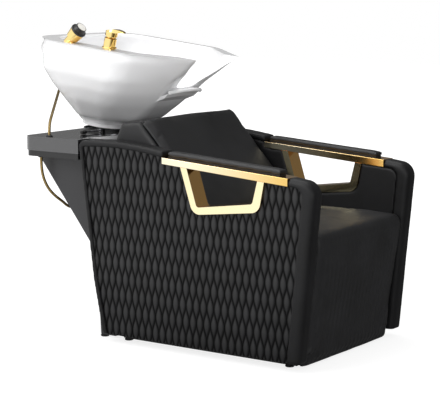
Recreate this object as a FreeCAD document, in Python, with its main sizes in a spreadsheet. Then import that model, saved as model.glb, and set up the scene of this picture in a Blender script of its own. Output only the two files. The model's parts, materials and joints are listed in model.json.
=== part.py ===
import FreeCAD, Part
import math
import os

import Sketcher
from FreeCAD import Placement, Rotation, Vector

# Hair washing bed: an armchair with quilted side panels, a deck behind its back
# and a ceramic basin on the deck that tips towards the sitter's neck.
# Millimetres. The sitter faces -Y, +Z is up, and the origin lies on the floor
# under the middle of the chair's outer box. Left is the side at -X.

doc = FreeCAD.newDocument("hair_washing_bed")
sheet = doc.addObject("Spreadsheet::Sheet", "sizes")
nodes = {}


class Size:
    """A length with the sheet expression that gives it."""

    def __init__(self, value, text):
        self.value = value
        self.text = text

    def __add__(self, other):
        return Size(self.value + number(other), "(%s + %s)" % (self.text, words(other)))

    def __sub__(self, other):
        return Size(self.value - number(other), "(%s - %s)" % (self.text, words(other)))

    def __mul__(self, other):
        return Size(self.value * number(other), "(%s * %s)" % (self.text, words(other)))

    def __truediv__(self, other):
        return Size(self.value / number(other), "(%s / %s)" % (self.text, words(other)))

    def __neg__(self):
        return Size(-self.value, "(-1 * %s)" % self.text)


def number(item):
    return item.value if isinstance(item, Size) else float(item)


def words(item):
    return item.text if isinstance(item, Size) else repr(float(item))


def size(alias, value):
    """Write one driving size into the sheet and hand it back."""
    size.row += 1
    cell = "B%d" % size.row
    sheet.set("A%d" % size.row, alias.replace("_", " "))
    sheet.set(cell, repr(value))
    sheet.setAlias(cell, alias)
    return Size(float(value), "sizes." + alias)


size.row = 0
nothing = Size(0.0, "0")

# Whole chair
length_overall = size("length_overall", 1222)
width_overall = size("width_overall", 680)
half_length = length_overall / 2
half_width = width_overall / 2
panel_thickness = size("panel_thickness", 64)
inner_half_width = half_width - panel_thickness
joint_gap = size("joint_gap", 0.4)
seat_board_setback = size("seat_board_setback", 7)
edge_soft = size("edge_soft", 2)

# Side panel outline, seen from the side
panel_bottom = size("panel_bottom", 29)
base_bottom = size("base_bottom", 8)
panel_front_height = size("panel_front_height", 610)
panel_front_round = size("panel_front_round", 50)
panel_front_lean_share = size("panel_front_lean_share", 0.094)
panel_rear_setback = size("panel_rear_setback", 373)
panel_rear_foot = half_length - panel_rear_setback
panel_rear_lean_share = size("panel_rear_lean_share", 0.132)
panel_rear_fall = size("panel_rear_fall", 10)
panel_rear_round = size("panel_rear_round", 22)
panel_heel_height = size("panel_heel_height", 212)
panel_heel_step = size("panel_heel_step", 10)
panel_heel_foot = panel_rear_foot - panel_heel_step
panel_foot_round = size("panel_foot_round", 12)
panel_crown_lift = size("panel_crown_lift", 6.07)
panel_crown_setback = size("panel_crown_setback", 88)
panel_crown_place = panel_rear_foot - panel_crown_setback
panel_crown_round = size("panel_crown_round", 1400)
panel_top_rise_share = size("panel_top_rise_share", 0.107)
front_border_width = size("front_border_width", 45)
rear_border_width = size("rear_border_width", 14)
top_border_width = size("top_border_width", 20)
border_edge_round = size("border_edge_round", 20)
quilt_thickness = size("quilt_thickness", 18)
lining_thickness = size("lining_thickness", 8)
board_thickness = panel_thickness - quilt_thickness - lining_thickness


def panel_front(height):
    """Y of the panel's front edge at a height."""
    reach_height = panel_front_height - panel_front_round
    return -half_length + panel_front_lean_share * (reach_height - height)


def panel_rear(height):
    """Y of the panel's rear edge at a height."""
    return panel_rear_foot + panel_rear_lean_share * height


def panel_top(place):
    """Height of the straight top edge ahead of the crown."""
    return panel_front_height + panel_top_rise_share * (place - panel_front(panel_front_height))


panel_crown_height = panel_top(panel_crown_place) + panel_crown_lift
panel_rear_height = panel_crown_height - panel_rear_fall

# Arm: a gold rail let into the panel's top, with a pad on it
arm_setback = size("arm_setback", 95)
arm_rear_setback = size("arm_rear_setback", 267)
arm_front = arm_setback - half_length
arm_rear = panel_rear_foot - arm_rear_setback
arm_length = arm_rear - arm_front
rail_lift = size("rail_lift", 9.5)
rail_front_height = panel_front_height + rail_lift
rail_rise = size("rail_rise", 33.5)
rail_height = size("rail_height", 25)
rail_taper = size("rail_taper", 4)
rail_proud = size("rail_proud", 1.5)
arm_board_thickness = size("arm_board_thickness", 6)
arm_board_width = size("arm_board_width", 36)
arm_pad_width = size("arm_pad_width", 42)
arm_pad_front = size("arm_pad_front", 34)
arm_pad_rear = size("arm_pad_rear", 12)
arm_pad_thickness = size("arm_pad_thickness", 14)
arm_pad_round = size("arm_pad_round", 5)


def rail_top(place):
    """Height of the rail's top face at a Y."""
    return rail_front_height + rail_rise * (place - arm_front) / arm_length


def rail_under(place):
    """Height of the rail's underside: it thins towards the rear."""
    return rail_top(place) - rail_height + rail_taper * (place - arm_front) / arm_length


# Gold frame in the panel's cut-out under the rail
frame_front_top_share = size("frame_front_top_share", 0.17864)
frame_front_low_share = size("frame_front_low_share", 0.21766)
frame_rear_low_share = size("frame_rear_low_share", 0.74333)
frame_rear_top_share = size("frame_rear_top_share", 0.846)
frame_front_drop = size("frame_front_drop", 116.5)
frame_rear_drop = size("frame_rear_drop", 145.5)
frame_face = size("frame_face", 25)
frame_corner_round = size("frame_corner_round", 36)
frame_inner_round = size("frame_inner_round", 12)
frame_proud = size("frame_proud", 1.5)

# Seat
seat_top = size("seat_top", 447)
seat_crown = size("seat_crown", 6)
seat_side_drop = size("seat_side_drop", 6)
seat_setback = size("seat_setback", 7)
seat_foot_setback = size("seat_foot_setback", 71)
seat_clearance = size("seat_clearance", 4)
seat_round = size("seat_round", 30)
seat_thickness = size("seat_thickness", 94)
apron_thickness = size("apron_thickness", 26)
seat_rear_setback = size("seat_rear_setback", 279)
seat_rear = panel_rear_foot - seat_rear_setback
seat_board_thickness = size("seat_board_thickness", 18)
seat_frame_wall = size("seat_frame_wall", 18)
seat_frame_play = size("seat_frame_play", 5.8)
seat_frame_rear_setback = size("seat_frame_rear_setback", 52)
seat_frame_rear = panel_rear_foot - seat_frame_rear_setback
front_board_thickness = size("front_board_thickness", 15)
seat_board_top = seat_top - seat_thickness
seat_frame_top = seat_board_top - seat_board_thickness

# Backrest
back_top_setback = size("back_top_setback", 120)
back_top_place = panel_rear_foot - back_top_setback
back_top_rise = size("back_top_rise", 69)
back_top_height = panel_rear_height + back_top_rise
back_top_depth = size("back_top_depth", 76)
back_top_fall = size("back_top_fall", 7)
back_lean_share = size("back_lean_share", 0.917)
back_heel_setback = size("back_heel_setback", 20)
back_heel_place = panel_rear_foot - back_heel_setback
back_heel_rise = size("back_heel_rise", 7)
back_heel_height = panel_rear_height + back_heel_rise
back_wall = size("back_wall", 15)
back_play = size("back_play", 4)
back_half_width = inner_half_width - back_play
back_pad_thickness = size("back_pad_thickness", 22)
back_pad_edge = size("back_pad_edge", 10)
back_corner_round = size("back_corner_round", 12)
back_crown = size("back_crown", 11)


def back_line(height):
    """Y of the seam between the backrest and its front pad."""
    return back_top_place + back_lean_share * (height - back_top_height)


# Deck behind the backrest
deck_step = size("deck_step", 2.5)
deck_top = panel_rear_height + deck_step
deck_height = size("deck_height", 70)
deck_bottom = deck_top - deck_height
deck_lip = size("deck_lip", 20)
deck_lip_inset = size("deck_lip_inset", 4)
deck_rear_setback = size("deck_rear_setback", 34)
deck_rear = half_length - deck_rear_setback
deck_inset = size("deck_inset", 2)
deck_play = size("deck_play", 1)
deck_front = back_heel_place + deck_play
deck_wall = size("deck_wall", 5)
deck_corner_round = size("deck_corner_round", 32)
deck_top_round = size("deck_top_round", 2.5)
deck_board_thickness = size("deck_board_thickness", 25)
deck_board_margin = size("deck_board_margin", 10)
deck_half_width = half_width - deck_inset

# Housing under the deck
housing_play = size("housing_play", 1)
housing_half_width = inner_half_width - housing_play
housing_front_inset = size("housing_front_inset", 3)
housing_front = deck_front + housing_front_inset
housing_rear_inset = size("housing_rear_inset", 11)
housing_top_rear = deck_rear - housing_rear_inset
housing_slope_share = size("housing_slope_share", 0.79)
housing_knee_drop = size("housing_knee_drop", 328.5)
housing_knee_height = deck_bottom - housing_knee_drop
housing_foot_length = size("housing_foot_length", 68)
housing_foot_rear = housing_front + housing_foot_length
housing_wall = size("housing_wall", 14)
housing_edge_round = size("housing_edge_round", 6)
cover_width = size("cover_width", 260)
cover_length = size("cover_length", 190)
cover_thickness = size("cover_thickness", 3)
cover_lap = size("cover_lap", 18)
cover_corner_round = size("cover_corner_round", 10)
cover_drop = size("cover_drop", 158.5)
cover_middle_height = deck_bottom - cover_drop
screw_head_radius = size("screw_head_radius", 5)
screw_head_height = size("screw_head_height", 2.6)
screw_shank_radius = size("screw_shank_radius", 2)
screw_length = size("screw_length", 14)

# Feet
foot_radius = size("foot_radius", 15)
foot_stem_radius = size("foot_stem_radius", 9)
foot_pad_height = size("foot_pad_height", 5)
foot_rear_inset = size("foot_rear_inset", 14)
foot_rear_place = seat_frame_rear - foot_rear_inset
foot_inset = size("foot_inset", 12)

# Tilt bracket
pivot_setback = size("pivot_setback", 182)
pivot_place = deck_rear - pivot_setback
pivot_rise = size("pivot_rise", 16.5)
pivot_height = deck_top + pivot_rise
tilt_rest = size("tilt_rest_degrees", 6.5)
base_thickness = size("base_thickness", 6)
base_radius = size("base_radius", 96)
base_flange = size("base_flange", 5)
base_flange_front = size("base_flange_front", 0.3)
base_flange_rear = size("base_flange_rear", 5.5)
waste_hole_radius = size("waste_hole_radius", 31)
deck_drain_step = size("deck_drain_step", 38)
deck_drain_place = pivot_place + deck_drain_step
cradle_hole_radius = size("cradle_hole_radius", 25)
ear_thickness = size("ear_thickness", 9)
ear_gap = size("ear_gap", 0.3)
lug_width = size("lug_width", 34)
pin_radius = size("pin_radius", 5)
pin_clearance = size("pin_clearance", 0.05)
ear_radius = size("ear_radius", 10)
lock_step = size("lock_step", 30)
lock_place = pivot_place + lock_step
lock_rise = size("lock_rise", 7.5)
lock_height = deck_top + lock_rise
lock_radius = size("lock_radius", 3)
lock_boss_length = size("lock_boss_length", 16)
lock_boss_width = size("lock_boss_width", 22)
lock_boss_height = size("lock_boss_height", 12)
lock_rod_length = size("lock_rod_length", 88)
lock_knob_radius = size("lock_knob_radius", 6.8)
lock_knob_length = size("lock_knob_length", 25)
lock_collar_radius = size("lock_collar_radius", 5)
buffer_radius = size("buffer_radius", 9)
buffer_height = size("buffer_height", 3)
buffer_spread = size("buffer_spread", 36)
buffer_step = size("buffer_step", 110)
buffer_place = pivot_place + buffer_step
bolt_radius = size("bolt_radius", 4)
bolt_head_radius = size("bolt_head_radius", 6.5)
bolt_head_height = size("bolt_head_height", 3.5)
bolt_spread = size("bolt_spread", 58)
bolt_reach = size("bolt_reach", 52)

# Basin, in its own level frame: it turns about the pivot by the rest tilt
rim_rise = size("rim_rise", 300)
rim_height = pivot_height + rim_rise
basin_half_width = size("basin_half_width", 275)
basin_rear_reach = size("basin_rear_reach", 246)
basin_rear = pivot_place + basin_rear_reach
basin_front_reach = size("basin_front_reach", 380)
basin_front = pivot_place - basin_front_reach
basin_foot_step = size("basin_foot_step", 63.5)
basin_foot_middle = pivot_place + basin_foot_step
basin_foot_drop = size("basin_foot_drop", 3.2)
basin_foot_bottom = pivot_height - basin_foot_drop
basin_foot_height = size("basin_foot_height", 16)
basin_foot_radius = size("basin_foot_radius", 100)
basin_foot_wall = size("basin_foot_wall", 12)
basin_wall = size("basin_wall", 9)
bowl_depth = size("bowl_depth", 218)
bowl_floor = rim_height - bowl_depth
bowl_drain_step = size("bowl_drain_step", 35)
bowl_drain_place = pivot_place + bowl_drain_step
drain_radius = size("drain_radius", 23)
notch_drop = size("notch_drop", 122)
notch_bottom = rim_height - notch_drop
notch_low_half = size("notch_low_half", 46)
notch_top_half = size("notch_top_half", 127)
notch_corner_round = size("notch_corner_round", 36)
notch_depth = size("notch_depth", 240)
neck_lip_reach = size("neck_lip_reach", 24)
neck_lip_half = size("neck_lip_half", 90)
neck_lip_sweep = size("neck_lip_sweep", 16)
neck_lip_droop = size("neck_lip_droop", 8)
neck_lip_radius = size("neck_lip_radius", 7)
lip_sink_share = size("lip_sink_share", 0.6)
web_depth_share = size("web_depth_share", 2.4)
overrun = size("overrun", 20)

# Mixer and handset on the near ledge of the rim, in the basin's frame
tap_inset = size("tap_inset", 35)
tap_line = tap_inset - basin_half_width
mixer_step = size("mixer_step", 93)
mixer_place = pivot_place - mixer_step
mixer_radius = size("mixer_radius", 21)
mixer_height = size("mixer_height", 30.4)
mixer_ring_radius = size("mixer_ring_radius", 25.5)
mixer_ring_height = size("mixer_ring_height", 9)
mixer_neck_radius = size("mixer_neck_radius", 20)
mixer_lean = size("mixer_lean_degrees", 7)
mixer_shank_radius = size("mixer_shank_radius", 15)
mixer_shank_length = size("mixer_shank_length", 52)
mixer_nut_radius = size("mixer_nut_radius", 21)
mixer_nut_height = size("mixer_nut_height", 9)
mixer_ball_top = size("mixer_ball_top", 4)
lever_cap_height = size("lever_cap_height", 16)
lever_cap_wall = size("lever_cap_wall", 1.8)
lever_cap_roof = size("lever_cap_roof", 2.5)
lever_skirt = size("lever_skirt", 3)
lever_pin_radius = size("lever_pin_radius", 1.5)
lever_crown_share = size("lever_crown_share", 0.85)
lever_reach = size("lever_reach", 56)
lever_rise = size("lever_rise", 12)
lever_half = size("lever_half", 18)
lever_lift = size("lever_lift_degrees", 20)
holder_step = size("holder_step", 81)
holder_place = pivot_place + holder_step
holder_radius = size("holder_radius", 20)
holder_height = size("holder_height", 7)
holder_shank_radius = size("holder_shank_radius", 13)
holder_lean = size("holder_lean_degrees", 42)
holder_rise = size("holder_rise", 13)
handset_neck_radius = size("handset_neck_radius", 9)
handset_neck_length = size("handset_neck_length", 10)
handset_back_radius = size("handset_back_radius", 23)
handset_wide_radius = size("handset_wide_radius", 27)
handset_body_length = size("handset_body_length", 34)
handset_grip_length = size("handset_grip_length", 8)
handset_nose_length = size("handset_nose_length", 12)
handset_face_radius = size("handset_face_radius", 19)
handset_face_thickness = size("handset_face_thickness", 3)
handset_clearance = size("handset_clearance", 0.4)
ledge_thickness = size("ledge_thickness", 14)

# Shower hose
hose_diameter = size("hose_diameter", 10)
hose_radius = hose_diameter / 2
bush_wall = size("bush_wall", 4)
bush_flange = size("bush_flange", 3)
bush_length = size("bush_length", 6)


def checked(item):
    """Recompute and stop on a feature that failed."""
    doc.recompute()
    if any(word in item.State for word in ("Invalid", "Error")):
        raise RuntimeError("%s failed: %s" % (item.Label, item.State))
    return item


def keep(name, item):
    """Name one finished sub-part."""
    item.Label = name
    nodes[name] = item
    return item


# Sketches, prisms and turned pieces
def origin_plane(body, role):
    return [f for f in body.Origin.OriginFeatures if f.Role == role][0]


def bind_point(sketch, index, position, point):
    """Hold one sketch point at a named place."""
    for kind, part in zip(("DistanceX", "DistanceY"), point):
        row = sketch.addConstraint(Sketcher.Constraint(kind, index, position, number(part)))
        sketch.setExpression("Constraints[%d]" % row, words(part))


def draw_polygon(sketch, points):
    corners = [Vector(number(u), number(v), 0) for u, v in points]
    first = sketch.GeometryCount
    count = len(corners)
    for k in range(count):
        sketch.addGeometry(Part.LineSegment(corners[k], corners[(k + 1) % count]), False)
    for k in range(count):
        follower = first + (k + 1) % count
        sketch.addConstraint(Sketcher.Constraint("Coincident", first + k, 2, follower, 1))
    for k, point in enumerate(points):
        bind_point(sketch, first + k, 1, point)


def draw_circle(sketch, centre, radius):
    middle = Vector(number(centre[0]), number(centre[1]), 0)
    index = sketch.addGeometry(Part.Circle(middle, Vector(0, 0, 1), number(radius)), False)
    bind_point(sketch, index, 3, centre)
    row = sketch.addConstraint(Sketcher.Constraint("Radius", index, number(radius)))
    sketch.setExpression("Constraints[%d]" % row, words(radius))


def new_sketch(body, role, outline, holes=(), circles=()):
    sketch = body.newObject("Sketcher::SketchObject", body.Name + "_sketch")
    sketch.AttachmentSupport = (origin_plane(body, role), [""])
    sketch.MapMode = "FlatFace"
    if outline:
        draw_polygon(sketch, outline)
    for hole in holes:
        draw_polygon(sketch, hole)
    for centre, radius in circles:
        draw_circle(sketch, centre, radius)
    return checked(sketch)


def bind_place(body, place):
    for axis, part in zip("xyz", place):
        if isinstance(part, Size):
            body.setExpression("Placement.Base." + axis, words(part))


def pad(body, sketch, length, symmetric=True):
    feature = body.newObject("PartDesign::Pad", body.Name + "_pad")
    feature.Profile = sketch
    feature.SideType = "Symmetric" if symmetric else "One side"
    feature.setExpression("Length", words(length))
    return checked(feature)


def pocket(body, sketch, length, symmetric=True, backwards=False):
    before = body.Shape.Volume
    feature = body.newObject("PartDesign::Pocket", body.Name + "_pocket")
    feature.Profile = sketch
    feature.SideType = "Symmetric" if symmetric else "One side"
    feature.Reversed = backwards
    feature.setExpression("Length", words(length))
    checked(feature)
    if not feature.Shape.Volume < before:
        raise RuntimeError("%s cuts nothing" % feature.Name)
    return feature


plane_axes = {"XY_Plane": (0, 1, 2), "XZ_Plane": (0, 2, 1), "YZ_Plane": (1, 2, 0)}
near = 1e-4


def flat_point(vertex, axes):
    place = (vertex.Point.x, vertex.Point.y, vertex.Point.z)
    return place[axes[0]], place[axes[1]]


def corner_edges(shape, role, point):
    """Names of the edges that run square to the sketch through one of its corners."""
    axes = plane_axes[role]
    goal = (number(point[0]), number(point[1]))
    found = []
    for k, edge in enumerate(shape.Edges):
        ends = [flat_point(v, axes) for v in edge.Vertexes]
        if len(ends) == 2 and all(math.dist(goal, end) < near for end in ends):
            found.append("Edge%d" % (k + 1))
    return found


def fillet(body, names, radius):
    if not names:
        raise RuntimeError("%s has no edge to round" % body.Name)
    base = body.Tip
    feature = body.newObject("PartDesign::Fillet", body.Name + "_fillet")
    feature.Base = (base, names)
    feature.setExpression("Radius", words(radius))
    return checked(feature)


def round_corners(body, role, corners):
    """Round sketch corners, given as pairs of a point and a radius."""
    for point, radius in corners:
        fillet(body, corner_edges(body.Tip.Shape, role, point), radius)


def round_where(body, radius, chosen):
    """Round each edge of the finished shape that a test picks."""
    edges = body.Tip.Shape.Edges
    names = ["Edge%d" % (k + 1) for k, edge in enumerate(edges) if chosen(edge)]
    return fillet(body, names, radius)


def prism(name, role, outline, length, place=(), corners=(), holes=(), circles=(), symmetric=True):
    """A body padded from a named outline, with chosen corners rounded."""
    body = doc.addObject("PartDesign::Body", name)
    sketch = new_sketch(body, role, outline, holes, circles)
    pad(body, sketch, length, symmetric)
    round_corners(body, role, [(outline[k], radius) for k, radius in corners])
    bind_place(body, place)
    doc.recompute()
    return keep(name, body)


def turned(name, profile, stand=Placement()):
    """A body revolved about its own Z axis from points of radius and height."""
    body = doc.addObject("PartDesign::Body", name)
    sketch = new_sketch(body, "XZ_Plane", profile)
    feature = body.newObject("PartDesign::Revolution", name + "_turning")
    feature.Profile = sketch
    feature.ReferenceAxis = (sketch, ["V_Axis"])
    feature.Angle = 360
    checked(feature)
    body.Placement = stand
    doc.recompute()
    return keep(name, body)


def solid_feature(name, shape, stand=Placement()):
    """A sub-part whose shape is worked out from the named sizes."""
    item = doc.addObject("Part::Feature", name)
    item.Shape = shape
    item.Placement = stand
    return keep(name, item)


def hidden_body(body):
    """Take a helper body off the list of sub-parts."""
    del nodes[body.Label]
    return body


def group_of(name, source, stands):
    """Copies of one piece, as separate solids under one name."""
    base = source.Shape.copy()
    base.Placement = Placement()
    copies = []
    for stand in stands:
        copy = base.copy()
        copy.Placement = stand
        copies.append(copy)
    return solid_feature(name, Part.makeCompound(copies))


# Wires of lines and arcs for lofts
def rounded_wire(points, radii):
    """A closed wire through points with an arc of its own radius at each corner."""
    count = len(points)
    starts = []
    ends = []
    middles = []
    for k in range(count):
        here = points[k]
        back = (points[k - 1] - here).normalize()
        ahead = (points[(k + 1) % count] - here).normalize()
        half = back.getAngle(ahead) / 2
        reach = radii[k] / math.tan(half)
        centre = here + (back + ahead).normalize() * (radii[k] / math.sin(half))
        starts.append(here + back * reach)
        ends.append(here + ahead * reach)
        middles.append(centre + (here - centre).normalize() * radii[k])
    edges = []
    for k in range(count):
        edges.append(Part.Arc(starts[k], middles[k], ends[k]).toShape())
        edges.append(Part.LineSegment(ends[k], starts[(k + 1) % count]).toShape())
    return Part.Wire(edges)


# Side panels
def panel_outline():
    """The quilted field: board, quilt and lining share it."""
    front_low = panel_front(panel_bottom) + front_border_width
    front_top_height = panel_front_height - top_border_width
    front_top = panel_front(front_top_height) + front_border_width
    rear_top_height = panel_rear_height - top_border_width
    frame = frame_outline()
    return [
        (front_low, panel_bottom),
        (front_top, front_top_height),
        (arm_front, rail_under(arm_front)),
        frame[0],
        frame[1],
        frame[2],
        frame[3],
        (arm_rear, rail_under(arm_rear)),
        (arm_rear, panel_top(arm_rear) - top_border_width),
        (panel_crown_place, panel_crown_height - top_border_width),
        (panel_rear(rear_top_height) - rear_border_width, rear_top_height),
        (panel_rear(panel_heel_height) - rear_border_width, panel_heel_height),
        (panel_heel_foot - rear_border_width, panel_bottom),
    ]


def frame_outline():
    """Outer corners of the gold frame, from its front top round to its rear top."""
    front_top = arm_front + frame_front_top_share * arm_length
    front_low = arm_front + frame_front_low_share * arm_length
    rear_low = arm_front + frame_rear_low_share * arm_length
    rear_top = arm_front + frame_rear_top_share * arm_length
    return [
        (front_top, rail_under(front_top)),
        (front_low, rail_front_height - frame_front_drop),
        (rear_low, rail_front_height - frame_rear_drop),
        (rear_top, rail_under(rear_top)),
    ]


def frame_opening():
    """Inner corners of the gold frame."""
    outer = frame_outline()
    front_top = outer[0][0] + frame_face
    front_low = outer[1][0] + frame_face
    rear_low = outer[2][0] - frame_face * 0.6
    rear_top = outer[3][0] - frame_face
    return [
        (front_top, rail_under(front_top)),
        (front_low, outer[1][1] + frame_face),
        (rear_low, outer[2][1] + frame_face),
        (rear_top, rail_under(rear_top)),
    ]


def panel_slab(name, thickness, middle):
    outline = panel_outline()
    corners = (
        (1, panel_front_round - top_border_width),
        (4, frame_corner_round),
        (5, frame_corner_round),
        (9, panel_crown_round),
    )
    return prism(name, "YZ_Plane", outline, thickness, (middle,), corners)


def on_side_face(edge, reach):
    """True for an edge that lies wholly in one of the two flat side faces."""
    return all(abs(abs(v.Point.x) - reach.value) < near for v in edge.Vertexes)


def border_front(name, middle):
    inner = panel_outline()
    outline = [
        (panel_front(panel_bottom), panel_bottom),
        (panel_front(panel_front_height), panel_front_height),
        (arm_front, panel_top(arm_front)),
        inner[2],
        inner[1],
        inner[0],
    ]
    corners = ((1, panel_front_round), (4, panel_front_round - top_border_width))
    body = prism(name, "YZ_Plane", outline, panel_thickness, (middle,), corners)
    round_outer_run(body, outline[0], outline[2])
    return body


def border_rear(name, middle):
    inner = panel_outline()
    outline = [
        (arm_rear, panel_top(arm_rear)),
        (panel_crown_place, panel_crown_height),
        (panel_rear(panel_rear_height), panel_rear_height),
        (panel_rear(panel_heel_height), panel_heel_height),
        (panel_heel_foot, panel_bottom),
        inner[12],
        inner[11],
        inner[10],
        inner[9],
        inner[8],
    ]
    corners = (
        (1, panel_crown_round),
        (2, panel_rear_round),
        (4, panel_foot_round),
        (8, panel_crown_round - top_border_width),
    )
    return prism(name, "YZ_Plane", outline, panel_thickness, (middle,), corners)


def round_outer_run(body, low_corner, top_corner):
    """Round both long edges of the front border, from its foot to the arm."""
    reach = panel_thickness / 2
    foot = (low_corner[0].value, low_corner[1].value)
    head = (top_corner[0].value, top_corner[1].value)

    def outer(edge):
        if not on_side_face(edge, reach):
            return False
        ends = [(v.Point.y, v.Point.z) for v in edge.Vertexes]
        if len(ends) != 2:
            return False
        return any(math.dist(end, foot) < near for end in ends) and abs(ends[0][1] - ends[1][1]) > foot[1]

    edges = body.Tip.Shape.Edges
    names = ["Edge%d" % (k + 1) for k, edge in enumerate(edges) if outer(edge)]
    return fillet(body, names, border_edge_round)


def make_side(side, sign):
    """One side of the chair: panel layers, borders, frame, rail, arm board and pad."""
    outer = half_width * sign
    quilt_middle = outer - quilt_thickness / 2 * sign
    board_middle = outer - (quilt_thickness + board_thickness / 2) * sign
    lining_middle = outer - (panel_thickness - lining_thickness / 2) * sign
    panel_middle = outer - panel_thickness / 2 * sign
    panel_slab("side_board_" + side, board_thickness, board_middle)
    panel_slab("side_quilt_" + side, quilt_thickness, quilt_middle)
    panel_slab("side_lining_" + side, lining_thickness, lining_middle)
    border_front("front_border_" + side, panel_middle)
    border_rear("rear_border_" + side, panel_middle)
    arm_frame(side, panel_middle)
    arm_rail(side, panel_middle)
    arm_board(side, panel_middle)
    arm_pad(side, panel_middle)


def arm_frame(side, middle):
    outer = frame_outline()
    inner = frame_opening()
    outline = outer + inner[::-1]
    corners = (
        (1, frame_corner_round),
        (2, frame_corner_round),
        (5, frame_inner_round),
        (6, frame_inner_round),
    )
    depth = panel_thickness + frame_proud * 2
    return prism("arm_frame_" + side, "YZ_Plane", outline, depth, (middle,), corners)


def arm_rail(side, middle):
    outline = [
        (arm_front, rail_top(arm_front)),
        (arm_rear, rail_top(arm_rear)),
        (arm_rear, rail_under(arm_rear)),
        (arm_front, rail_under(arm_front)),
    ]
    depth = panel_thickness + rail_proud * 2
    body = prism("arm_rail_" + side, "YZ_Plane", outline, depth, (middle,))
    half = depth / 2
    long_edge = arm_length * 0.9
    round_where(
        body,
        rail_proud * 0.8,
        lambda edge: on_side_face(edge, half) and edge.Length > long_edge.value,
    )
    return body


def arm_slab(name, low, thickness, inset, width, middle):
    """A slab that follows the rail's slope, at a height above its top face."""
    front = arm_front + arm_pad_front + inset
    rear = arm_rear - arm_pad_rear - inset
    outline = [
        (front, rail_top(front) + low),
        (rear, rail_top(rear) + low),
        (rear, rail_top(rear) + low + thickness),
        (front, rail_top(front) + low + thickness),
    ]
    return prism(name, "YZ_Plane", outline, width, (middle,))


def arm_board(side, middle):
    inset = (arm_pad_width - arm_board_width) / 2
    name = "arm_board_" + side
    return arm_slab(name, nothing, arm_board_thickness, inset, arm_board_width, middle)


def arm_pad(side, middle):
    low = arm_board_thickness
    thick = arm_pad_thickness
    body = arm_slab("arm_pad_" + side, low, thick, nothing, arm_pad_width, middle)
    front = arm_front + arm_pad_front
    top = rail_top(front) + low + thick

    def upper(edge):
        return min(v.Point.z for v in edge.Vertexes) > top.value - near

    round_where(body, arm_pad_round, upper)
    return body


# Seat
def seat_front(height):
    """Y of the seat's front face at a height."""
    lean = seat_foot_setback - seat_setback
    return seat_foot_setback - half_length - lean * (height / (seat_top - seat_round))


seat_frame_front = (
    seat_front(base_bottom) + apron_thickness + joint_gap + front_board_thickness + seat_frame_play
)


def seat_section(x, top, inset):
    """One side-to-side slice of the cushion: seat and front in one piece."""
    low = seat_clearance
    under = seat_board_top
    face = (seat_front(low).value + inset, seat_front(top).value + inset)
    inner = apron_thickness.value
    outline = [
        (face[0], low.value),
        (face[1], top.value),
        (seat_rear.value, top.value - seat_crown.value),
        (seat_rear.value, under.value),
        (seat_front(under).value + inner, under.value),
        (seat_front(low).value + inner, low.value),
    ]
    small = edge_soft.value
    radii = [small * 2, seat_round.value, small * 3, small, small * 4, small]
    return rounded_wire([Vector(x.value, y, z) for y, z in outline], radii)


def seat_cushion():
    half = inner_half_width - joint_gap
    shoulder = half * 0.92
    edge = seat_side_drop.value
    slices = [
        seat_section(-half, seat_top - seat_side_drop, edge),
        seat_section(-shoulder, seat_top, 0),
        seat_section(nothing, seat_top + seat_crown / 2, -edge / 3),
        seat_section(shoulder, seat_top, 0),
        seat_section(half, seat_top - seat_side_drop, edge),
    ]
    return solid_feature("seat_cushion", Part.makeLoft(slices, True, True))


def seat_base():
    """Plywood box, front board and seat board."""
    half = inner_half_width - joint_gap
    wall = seat_frame_wall
    ring = [(-half, seat_frame_front), (half, seat_frame_front), (half, seat_frame_rear), (-half, seat_frame_rear)]
    hole = [
        (-half + wall, seat_frame_front + wall),
        (half - wall, seat_frame_front + wall),
        (half - wall, seat_frame_rear - wall),
        (-half + wall, seat_frame_rear - wall),
    ]
    height = seat_frame_top - base_bottom
    place = (nothing, nothing, base_bottom)
    prism("seat_frame", "XY_Plane", ring, height, place, holes=(hole,), symmetric=False)
    inner = apron_thickness + joint_gap
    outer = apron_thickness + joint_gap + front_board_thickness
    board = [
        (seat_front(base_bottom) + inner, base_bottom),
        (seat_front(seat_frame_top) + inner, seat_frame_top),
        (seat_front(seat_frame_top) + outer, seat_frame_top),
        (seat_front(base_bottom) + outer, base_bottom),
    ]
    prism("seat_front_board", "YZ_Plane", board, half * 2)
    top = [
        (-half, seat_front(seat_frame_top) + inner + seat_board_setback),
        (half, seat_front(seat_frame_top) + inner + seat_board_setback),
        (half, seat_rear),
        (-half, seat_rear),
    ]
    place = (nothing, nothing, seat_frame_top)
    prism("seat_board", "XY_Plane", top, seat_board_thickness, place, symmetric=False)


# Backrest
def backrest_frame():
    """Hollow upholstered wedge that stands on the seat frame, open below."""
    rest = seat_top + joint_gap * 4
    top_rear = back_top_place + back_top_depth
    outline = [
        (back_top_place, back_top_height),
        (top_rear, back_top_height - back_top_fall),
        (back_heel_place, back_heel_height),
        (back_heel_place, seat_frame_top),
        (seat_rear + joint_gap, seat_frame_top),
        (seat_rear + joint_gap, rest),
        (back_line(rest), rest),
    ]
    corners = ((0, back_corner_round), (1, back_corner_round))
    body = prism("backrest_frame", "YZ_Plane", outline, back_half_width * 2, corners=corners)
    wall = back_wall
    inside_top = back_top_height - wall * 2
    inside = [
        (back_line(inside_top) + wall * 2, inside_top),
        (top_rear - wall, inside_top),
        (back_heel_place - wall, back_heel_height - wall),
        (back_heel_place - wall, seat_frame_top - overrun),
        (seat_rear + wall + joint_gap, seat_frame_top - overrun),
        (seat_rear + wall + joint_gap, rest + wall),
        (back_line(rest + wall) + wall * 2, rest + wall),
    ]
    sketch = new_sketch(body, "YZ_Plane", inside)
    pocket(body, sketch, (back_half_width - wall) * 2)
    return body


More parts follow.
